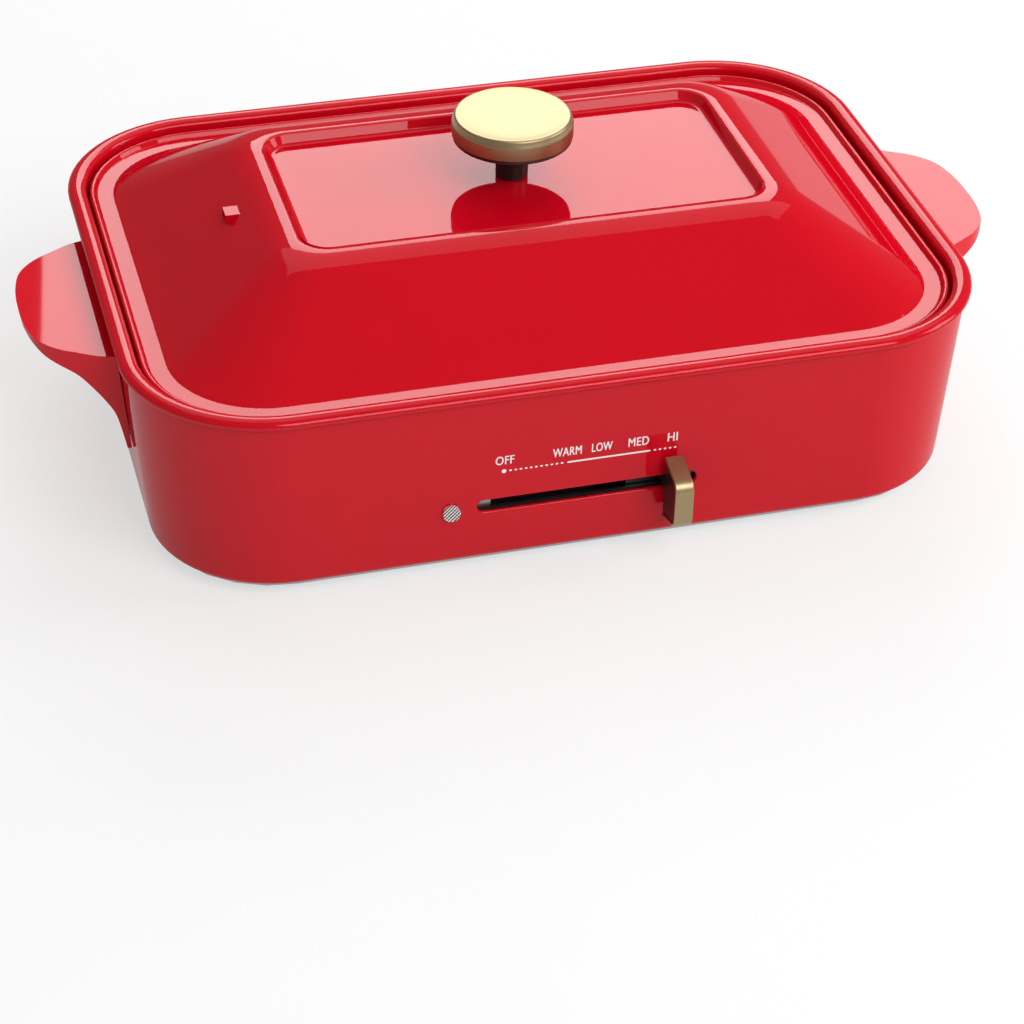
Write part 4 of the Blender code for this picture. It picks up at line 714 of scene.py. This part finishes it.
def handle(side, label):
    """Crosses the side view with the plan, and rounds the edges."""
    curve = []
    for out, down in SWEEP:
        z = HANDLE_TOP - HANDLE_HEIGHT * down
        curve.append((wall_x(z) + HANDLE_REACH * out, z))
    root = wall_x(HANDLE_TOP)
    low = HANDLE_TOP - HANDLE_HEIGHT
    view = [(wall_x(low), low), (root, HANDLE_TOP), (root + HANDLE_REACH, HANDLE_TOP), *soft(curve)]
    grip = draw(f"handle_{label}_moulded", view, HANDLE_HALF)
    mirror = Matrix.Scale(side, 4, (1, 0, 0))
    grip.matrix_world = Matrix.Translation(MIDDLE) @ mirror @ Matrix.Rotation(math.pi / 2, 4, "X")
    near = soft([(root + HANDLE_REACH * out, HANDLE_HALF * along) for out, along in PLAN])
    far = [(x, -y) for x, y in reversed(near[:-1])]
    inner = root - PLAN_ROOT
    plan = draw("plan", [(inner, HANDLE_HALF), *near, *far, (inner, -HANDLE_HALF)], 0.05)
    plan.matrix_world = Matrix.Translation((*MIDDLE.xy, 0.05)) @ mirror
    combine(grip, plan, "INTERSECT")
    apply_step(grip, "BEVEL", width=HANDLE_EDGE, segments=4, limit_method="ANGLE", angle_limit=SHARP)
    bpy.ops.object.mode_set(mode="EDIT")
    fuse()
    leave()
    return close(grip, "base", "red_handle", f"handle_{label}", angle=35)


handle(-1, "left")
handle(1, "right")

# %% [markdown]
# ## Heat lever
#
# The lever is a black core wrapped on three sides by a bent gold band. Seen from the side it
# is a stretched hexagon. The same rounded path gives both pieces: the band follows it, and
# the core fills it a little further in.

# %% Side view of the lever
LEVER_X = 0.031
LEVER = {"back": 0.013, "front": 0.0089, "start": 0.003, "reach": 0.0174}
LEVER_ROUND = 0.0044
BAND = 0.0013
BAND_HALF = 0.0035
CORE_HALF = 0.0031
CORE_PLAY = 0.0003
NECK = 0.0022


def lever_path(offset, steps=12):
    """Hexagon's three outer sides as (out from the wall, height), with round corners."""
    lean = math.atan2(LEVER["back"] - LEVER["front"], LEVER["reach"] - LEVER["start"])
    front = LEVER["reach"] - offset
    radius = LEVER_ROUND - offset
    half = LEVER["front"] - offset / math.cos(lean) + offset * math.tan(lean)
    back = LEVER["back"] - offset / math.cos(lean)
    swing = math.pi / 2 - lean
    centre = (front - radius, half - radius * math.tan(swing / 2))
    upper = [(LEVER["start"], back)]
    for step in range(steps + 1):
        angle = math.pi / 2 - lean - swing * step / steps
        upper.append((centre[0] + radius * math.cos(angle), centre[1] + radius * math.sin(angle)))
    return upper + [(out, -height) for out, height in reversed(upper)]


def stand_lever(piece):
    """Turns a plate drawn flat so that its x runs out from the wall and its y upwards."""
    upright = Matrix(((0, 0, -1), (-1, 0, 0), (0, 1, 0))).to_4x4()
    piece.matrix_world = Matrix.Translation((MIDDLE.x + LEVER_X, wall_y(SLOT_Z), SLOT_Z)) @ upright


# %% Gold band and black core
outer = lever_path(0)
inner = lever_path(BAND)
band = draw("lever_band", outer + list(reversed(inner)), BAND_HALF)
stand_lever(band)
apply_step(band, "BEVEL", width=0.0005, segments=4, limit_method="ANGLE", angle_limit=SHARP)
close(band, "lever", "gold_satin", "lever_cap", angle=35)
neck_end = -(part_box("lever_core")[1].y - wall_y(SLOT_Z))
core_path = [(neck_end, NECK), (LEVER["start"], NECK)] + lever_path(BAND + CORE_PLAY)
core_path += [(LEVER["start"], -NECK), (neck_end, -NECK)]
core = draw("lever_core_moulded", core_path, CORE_HALF)
stand_lever(core)
apply_step(core, "BEVEL", width=0.0002, segments=2, limit_method="ANGLE", angle_limit=SHARP)
close(core, "lever", "black_plastic", "lever_core", angle=35)

# %% [markdown]
# ## Pilot lamp
#
# The lamp's lens is a clear button, moulded with a grid of tiny pyramids that spread the
# neon's glow. The grid is a plane cut into squares whose middles are pulled out. It is made
# solid, trimmed round, and set into a turned rim.

# %% Lens
LENS_RIM = 0.0032
LENS_GLASS = 0.0026
LENS_BARREL = 0.0025
PYRAMID = 0.0003
PYRAMID_ROWS = 9
PYRAMID_FIELD = 0.0062
PYRAMID_TURN = math.radians(38)
lamp_wall = wall_y(LAMP_PLACE[1])
lens_front = lamp_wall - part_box("lamp_lens")[0].y
lens_back = lamp_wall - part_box("lamp_lens")[1].y
print("lens from", round(lens_back * 1000, 2), "to", round(lens_front * 1000, 2), "mm out of the wall")
ORIGIN = Vector((0, 0, 0))
lens_top = [(LENS_RIM, lens_front - 0.0003), (0.0031, lens_front - 0.0001), (0.0029, lens_front)]
lens_top += [(0.0027, lens_front - 0.0001), (LENS_GLASS, lens_front - 0.0004), (0.001, lens_front - 0.0004)]
lens_foot = [(LENS_RIM, 0.0001), (LENS_BARREL, 0.0001), (LENS_BARREL, lens_back)]
lens = turned("lamp_lens_moulded", LENS_RIM, 0.0003, lens_top, lens_foot, ORIGIN, 48)
prisms = start("prisms", bpy.ops.mesh.primitive_grid_add, x_subdivisions=PYRAMID_ROWS,
               y_subdivisions=PYRAMID_ROWS, size=PYRAMID_FIELD, location=(0, 0, lens_front - PYRAMID))
bpy.ops.transform.rotate(value=PYRAMID_TURN, orient_axis="Z", center_override=(0, 0, 0))
bpy.ops.mesh.poke(offset=PYRAMID)
bpy.ops.mesh.select_all(action="SELECT")
bpy.ops.mesh.extrude_region_move(TRANSFORM_OT_translate={"value": (0, 0, -0.0005)})
bpy.ops.mesh.select_all(action="SELECT")
bpy.ops.mesh.normals_make_consistent(inside=False)
leave()
start("trim", bpy.ops.mesh.primitive_cylinder_add, radius=LENS_GLASS + 0.0001, depth=0.004, vertices=48)
combine(prisms, leave(), "INTERSECT")
combine(lens, prisms, "UNION")
lens_place = Matrix.Translation((MIDDLE.x + LAMP_PLACE[0], lamp_wall, LAMP_PLACE[1]))
lens.matrix_world = lens_place @ Matrix.Rotation(math.pi / 2, 4, "X")
close(lens, "base", "lamp_glass", "lamp_lens", angle=20, weighted=False)

# %% [markdown]
# ## Printed scale
#
# The heat scale is printed on the front in white: five words, and a line of dashes that
# turns solid in the middle. Letters on the real thing are ink, a few hundredths of a
# millimetre thick. So they are text objects with almost no depth, turned into meshes and
# laid against the leaning wall. Each word is laid twice, a hair apart, for a bolder stroke:
# the text's own offset breaks sharp corners such as those of an M. All dashes are one
# short stroke at different places.

# %% Words
INK = 0.00002
# Each word's place from the middle, and its width
WORDS = {
    "OFF": (-0.0314, 0.0069),
    "WARM": (-0.0083, 0.0107),
    "LOW": (0.0044, 0.0077),
    "MED": (0.0181, 0.0077),
    "HI": (0.0309, 0.0038),
}
WORD_Z = 0.0479
WORD_HEIGHT = 0.0037


def place_flat(piece, x, z, out=INK):
    """Lays a shape drawn on the XY plane on the front wall and makes it a mesh."""
    bpy.ops.object.convert(target="MESH")
    piece = bpy.context.object
    piece.matrix_world = on_wall(x, z, out=out) @ piece.matrix_world
    return piece


BOLD_SHIFT = 0.00006
BOLD_RISE = 0.000003
INK_JOIN = 0.000002


def word_copy(word, x, width, out):
    """One copy of a word, scaled to its printed size."""
    bpy.ops.object.select_all(action="DESELECT")
    bpy.ops.object.text_add()
    letters = bpy.context.object
    letters.data.body = word
    letters.data.align_x = "CENTER"
    letters.data.align_y = "CENTER"
    letters.data.extrude = INK
    letters.data.space_character = 1.06
    letters.data.resolution_u = 4
    bpy.context.view_layer.update()
    drawn = letters.dimensions
    letters.scale = (width / drawn.x, WORD_HEIGHT / drawn.y, 1)
    piece = place_flat(letters, x, WORD_Z, out)
    bpy.ops.object.mode_set(mode="EDIT")
    bpy.ops.mesh.select_all(action="SELECT")
    bpy.ops.mesh.remove_doubles(threshold=INK_JOIN)
    bpy.ops.object.mode_set(mode="OBJECT")
    return piece


for word, (x, width) in WORDS.items():
    copies = []
    for side in (-1, 1):
        copies.append(word_copy(word, x + side * BOLD_SHIFT, width - 2 * BOLD_SHIFT, INK + side * BOLD_RISE))
    bpy.ops.object.select_all(action="DESELECT")
    for copy in copies:
        copy.select_set(True)
    bpy.context.view_layer.objects.active = copies[0]
    bpy.ops.object.join()
    copies[0].name = "print_" + word.lower()
    close(copies[0], "base", "white_plastic", weighted=False)

# %% Line of dashes
LINE_Z = 0.0433
LINE_HALF = 0.00035
START_HALF = 0.00085
DASH_HALF = 0.0005
DASH_STEP = 0.0019
FIRST_LEFT = -0.0292
FIRST_RIGHT = 0.0245


def stroke(name, x, half_x, half_z):
    """A short printed bar with round ends."""
    piece = start_empty(name)
    bpy.ops.mesh.primitive_plane_add(size=2)
    bpy.ops.transform.resize(value=(half_x, half_z, 1), center_override=(0, 0, 0))
    bpy.ops.mesh.bevel(offset=min(half_x, half_z) * 0.99, segments=6, affect="VERTICES", profile=0.5)
    bpy.ops.mesh.extrude_region_move(TRANSFORM_OT_translate={"value": (0, 0, INK)})
    bpy.ops.mesh.select_all(action="SELECT")
    bpy.ops.mesh.normals_make_consistent(inside=False)
    leave()
    return close(place_flat(piece, x, LINE_Z), "base", "white_plastic", weighted=False)


stroke("print_start", -0.0316, START_HALF, START_HALF)
stroke("print_line", 0.00725, 0.01555, LINE_HALF)
for label, first, count in (("left", FIRST_LEFT, 11), ("right", FIRST_RIGHT, 5)):
    for number in range(count):
        stroke(f"print_dot_{label}_{number}", first + number * DASH_STEP, DASH_HALF, LINE_HALF)

# %% [markdown]
# ## Finishes
#
# Every finish is a Principled shader. What makes it look real is small change over the
# surface: the waviness of baked enamel, the grain of turned metal, the speckle of a coating.
# To keep such node trees readable, one small class lets a socket be used in sums, and
# another adds nodes by type.

# %% Node helpers
class Value:
    """An output of a node that can be used in sums."""

    def __init__(self, finish, socket):
        self.finish = finish
        self.socket = socket

    def __add__(self, other):
        return self.finish.maths("ADD", self, other)

    def __radd__(self, other):
        return self.finish.maths("ADD", other, self)

    def __sub__(self, other):
        return self.finish.maths("SUBTRACT", self, other)

    def __rsub__(self, other):
        return self.finish.maths("SUBTRACT", other, self)

    def __mul__(self, other):
        return self.finish.maths("MULTIPLY", self, other)

    def __rmul__(self, other):
        return self.finish.maths("MULTIPLY", other, self)


class Finish:
    """A material whose nodes are added one by one."""

    def __init__(self, name, **constants):
        self.material = bpy.data.materials.new(name)
        self.material.use_nodes = True
        self.nodes = self.material.node_tree.nodes
        self.surface = self.nodes["Principled BSDF"]
        self.fill(self.surface, {key.replace("_", " ").title(): value for key, value in constants.items()})

    def fill(self, node, sockets):
        """Sets sockets by name, or links them where the value comes from a node."""
        for key, value in sockets.items():
            key = {"Specular Ior Level": "Specular IOR Level"}.get(key, key)
            if isinstance(value, Value):
                self.material.node_tree.links.new(value.socket, node.inputs[key])
            else:
                node.inputs[key].default_value = value

    def node(self, kind, sockets, outlet=0, **settings):
        """Adds a node, makes its settings, fills its sockets and returns one output."""
        added = self.nodes.new("ShaderNode" + kind)
        for key, value in settings.items():
            setattr(added, key, value)
        self.fill(added, sockets)
        return Value(self, added.outputs[outlet])

    def maths(self, operation, *values):
        """Adds a sum of values or numbers."""
        added = self.nodes.new("ShaderNodeMath")
        added.operation = operation
        self.fill(added, dict(enumerate(values)))
        return Value(self, added.outputs[0])

    def place(self, scale=(1, 1, 1)):
        """Object coordinates, stretched along some axes for grain."""
        spot = self.node("TexCoord", {}, outlet="Object")
        return self.node("Mapping", {"Vector": spot, "Scale": scale})

    def noise(self, scale, detail=2, stretch=(1, 1, 1)):
        """Soft random change over the surface."""
        return self.node("TexNoise", {"Vector": self.place(stretch), "Scale": scale, "Detail": detail})

    def bump(self, height, distance, strength=1):
        """Feeds a height into the surface's normal."""
        normal = self.node("Bump", {"Height": height, "Distance": distance, "Strength": strength})
        self.fill(self.surface, {"Normal": normal})

    def tint(self, amount, dark, light):
        """Feeds a blend of two colours into the base colour."""
        blend = self.node("Mix", {0: amount, 6: (*dark, 1), 7: (*light, 1)}, outlet=2, data_type="RGBA")
        self.fill(self.surface, {"Base Color": blend})

    def range(self, value, low, high, to_low, to_high):
        """Maps a value from one range to another, held at both ends."""
        return self.node("MapRange", {0: value, 1: low, 2: high, 3: to_low, 4: to_high})

    def roughen(self, value, low, high):
        """Feeds the middle range of a noise into the roughness."""
        self.fill(self.surface, {"Roughness": self.range(value, 0.3, 0.7, low, high)})


# %% [markdown]
# ## Painted, moulded and metal finishes
#
# The enamel is a deep red under a clear, glossy coat, with a faint waviness. The handles
# are moulded in the same red, a little softer. The knob and the lever's band are anodised
# in a pale gold with a fine grain. The lamp's lens gets two crossed waves of near black and
# near white in its colour: painted glints and painted shade of its tiny pyramids. The cooking
# plate's coating is black with a few paler specks.

# %% Red finishes
finishes = {}


def enamel(name, dark, light, gloss, wave=0.00001):
    """Red paint under a clear coat, with a faint waviness."""
    paint = Finish(name, coat_weight=0.5, coat_roughness=0.03, specular_ior_level=0.0)
    paint.tint(paint.noise(40), dark, light)
    paint.roughen(paint.noise(120), gloss, gloss + 0.05)
    paint.bump(paint.noise(150, 1), wave)
    return paint


finishes["red_enamel"] = enamel("red_enamel_paint", (0.53, 0.001, 0.009), (0.57, 0.0015, 0.011), 0.2)
finishes["red_handle"] = enamel("red_moulded", (0.63, 0.003, 0.013), (0.67, 0.004, 0.015), 0.26)


# %% Gold, steel and other metals
def metal(name, dark, light, rough, grain=(1, 1, 1), scale=900):
    """Bare metal whose grain changes its colour, its gloss and its height."""
    sheet = Finish(name, metallic=1.0)
    streaks = sheet.noise(scale, 3, grain)
    sheet.tint(streaks, dark, light)
    sheet.roughen(streaks, rough, rough + 0.08)
    sheet.bump(streaks, 0.000004)
    return sheet


finishes["gold_satin"] = metal("gold_anodised", (0.34, 0.26, 0.14), (0.39, 0.3, 0.17), 0.36)
finishes["steel"] = metal("steel_plain", (0.34, 0.34, 0.35), (0.42, 0.42, 0.43), 0.32)
finishes["brass"] = metal("brass_plain", (0.66, 0.46, 0.18), (0.74, 0.54, 0.24), 0.26)
ROLLED = (1, 8, 1)
finishes["tray_aluminium"] = metal("aluminium_sheet", (0.5, 0.5, 0.51), (0.56, 0.56, 0.57), 0.3, ROLLED, 700)
finishes["heater_sheath"] = metal("heater_sheath_burnt", (0.13, 0.12, 0.12), (0.22, 0.2, 0.19), 0.42)


# %% Black, rubber, glass and plastic
def moulding(name, dark, light, rough):
    """Moulded plastic or rubber with a fine, matt grain."""
    stuff = Finish(name)
    grain = stuff.noise(1500)
    stuff.tint(grain, dark, light)
    stuff.roughen(grain, rough, rough + 0.1)
    stuff.bump(grain, 0.00001)
    return stuff


finishes["black_plastic"] = moulding("black_moulded", (0.008, 0.008, 0.008), (0.014, 0.014, 0.014), 0.3)
finishes["rubber"] = moulding("rubber_black", (0.012, 0.012, 0.012), (0.022, 0.022, 0.022), 0.6)
finishes["white_plastic"] = moulding("white_ink_and_nylon", (0.78, 0.78, 0.77), (0.84, 0.84, 0.83), 0.4)
finishes["wire_sleeve"] = moulding("wire_braid", (0.62, 0.6, 0.56), (0.74, 0.72, 0.68), 0.55)
# Painted glints and painted shade: crossed waves of near black and near white in the lens's colour stand in
# for the light on its tiny pyramids.
lens_glint_paint = Finish("lamp_lens_ribbed", coat_weight=0.8, roughness=0.2)
glint_waves = []
for side in (-1, 1):
    spot = lens_glint_paint.place((side, 1, 1))
    glint_waves.append(lens_glint_paint.node("TexWave", {"Vector": spot, "Scale": 430}, outlet=1, bands_direction="DIAGONAL"))
crossed = glint_waves[0] * 0.75 + glint_waves[1] * 0.25
lens_glint_paint.tint(lens_glint_paint.range(crossed, 0.35, 0.65, 0, 1), (0.05, 0.035, 0.035), (0.85, 0.78, 0.76))
finishes["lamp_glass"] = lens_glint_paint
coating = Finish("nonstick_speckled")
speckle = coating.range(coating.noise(2600, 1), 0.62, 0.72, 0, 1)
coating.tint(speckle, (0.012, 0.012, 0.013), (0.11, 0.11, 0.115))
coating.roughen(coating.noise(700), 0.3, 0.42)
coating.bump(coating.noise(1200), 0.00002)
finishes["nonstick_coating"] = coating

# %% Give every piece its finish
slots = {entry["node"]: entry["material_slot"] for entry in frame["record"]["subparts"]}
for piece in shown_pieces():
    slot_name = piece.get("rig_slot") or slots[piece.name]
    piece.data.materials.clear()
    piece.data.materials.append(finishes[slot_name].material)

# %% [markdown]
# ## Camera
#
# The photo was taken from above and a little to the left, through a long lens. The camera
# is placed by its turn round the cooker, its height angle and its distance, and it is
# rolled slightly, as the photo is.

# %% Camera
AZIMUTH = math.radians(-15.95)
ELEVATION = math.radians(36)
ROLL = math.radians(1.32)
CAMERA_PLACE = Vector((-0.2540, -0.8902, 0.6212))
FOCAL_LENGTH = 99.3
level = math.cos(ELEVATION)
back = Vector((math.sin(AZIMUTH) * level, -math.cos(AZIMUTH) * level, math.sin(ELEVATION)))
right = Vector((math.cos(AZIMUTH), math.sin(AZIMUTH), 0))
up = back.cross(right)
right_rolled = math.cos(ROLL) * right + math.sin(ROLL) * up
up_rolled = math.cos(ROLL) * up - math.sin(ROLL) * right
bpy.ops.object.camera_add(location=CAMERA_PLACE)
camera = bpy.context.object
facing = Matrix((right_rolled, up_rolled, back)).transposed().to_4x4()
camera.matrix_world = Matrix.Translation(CAMERA_PLACE) @ facing
camera.data.lens = FOCAL_LENGTH
camera.data.sensor_width = 36
camera.data.shift_x = 0.002
camera.data.shift_y = -0.0037
bpy.context.scene.camera = camera

# %% [markdown]
# ## Floor and light
#
# The cooker stands on a pale floor under studio light. Glossy enamel shows its lamps, so
# their size and place matter more than their strength: one lamp behind lights the lid's
# panel, a wide one fills in from above, and one each stands in front and at the right. The
# floor glows a little where the camera or a mirror sees it, so it stays white and still
# keeps its shadow.

# %% Floor
bpy.ops.mesh.primitive_plane_add(size=6)
floor = bpy.context.object
floor.name = "floor"
WHITE_SHARE = 0.6
pale = Finish("floor_pale", roughness=0.8, specular_ior_level=0.1)
pale.tint(pale.noise(30), (0.8, 0.8, 0.8), (0.83, 0.83, 0.83))
seen = pale.node("LightPath", {}, outlet="Is Camera Ray")
for ray in ("Is Glossy Ray", "Is Transmission Ray"):
    seen = pale.maths("MAXIMUM", seen, pale.node("LightPath", {}, outlet=ray))
glow = pale.node("Emission", {"Color": (1, 1, 1, 1), "Strength": 1.0})
lit = Value(pale, pale.surface.outputs[0])
blend = pale.node("MixShader", {0: seen * WHITE_SHARE, 1: lit, 2: glow})
pale.fill(pale.nodes["Material Output"], {"Surface": blend})
floor.data.materials.append(pale.material)

# %% Lamps
AIM = Vector((0, 0, 0.09))
SKY_STRENGTH = 0.3


def softbox(name, azimuth, elevation, distance, width, height, radiance):
    """Flat lamp that faces the cooker; azimuth 0 is in front, 90 at the right; radiance 1 is white."""
    turn = math.radians(azimuth)
    rise = math.radians(elevation)
    way = Vector((math.sin(turn) * math.cos(rise), -math.cos(turn) * math.cos(rise), math.sin(rise)))
    bpy.ops.object.light_add(type="AREA", location=way * distance + AIM)
    lamp = bpy.context.object
    lamp.name = name
    lamp.data.shape = "RECTANGLE"
    lamp.data.size = width
    lamp.data.size_y = height
    lamp.data.energy = radiance * math.pi * width * height
    lamp.rotation_euler = way.to_track_quat("Z", "Y").to_euler()


softbox("lamp_behind", 164, 33, 1.6, 0.9, 0.55, 6.5)
softbox("lamp_ceiling", 160, 62, 2.0, 2.2, 1.4, 1.0)
softbox("lamp_front", 20, 42, 1.8, 1.2, 1.0, 5.5)
softbox("lamp_right", 80, 25, 1.5, 0.6, 0.7, 6)

world = bpy.data.worlds.new("studio")
world.use_nodes = True
bpy.context.scene.world = world
sky = world.node_tree.nodes["Background"]
sky.inputs["Color"].default_value = (1, 1, 1, 1)
sky.inputs["Strength"].default_value = SKY_STRENGTH
bpy.context.scene.view_settings.view_transform = "Standard"
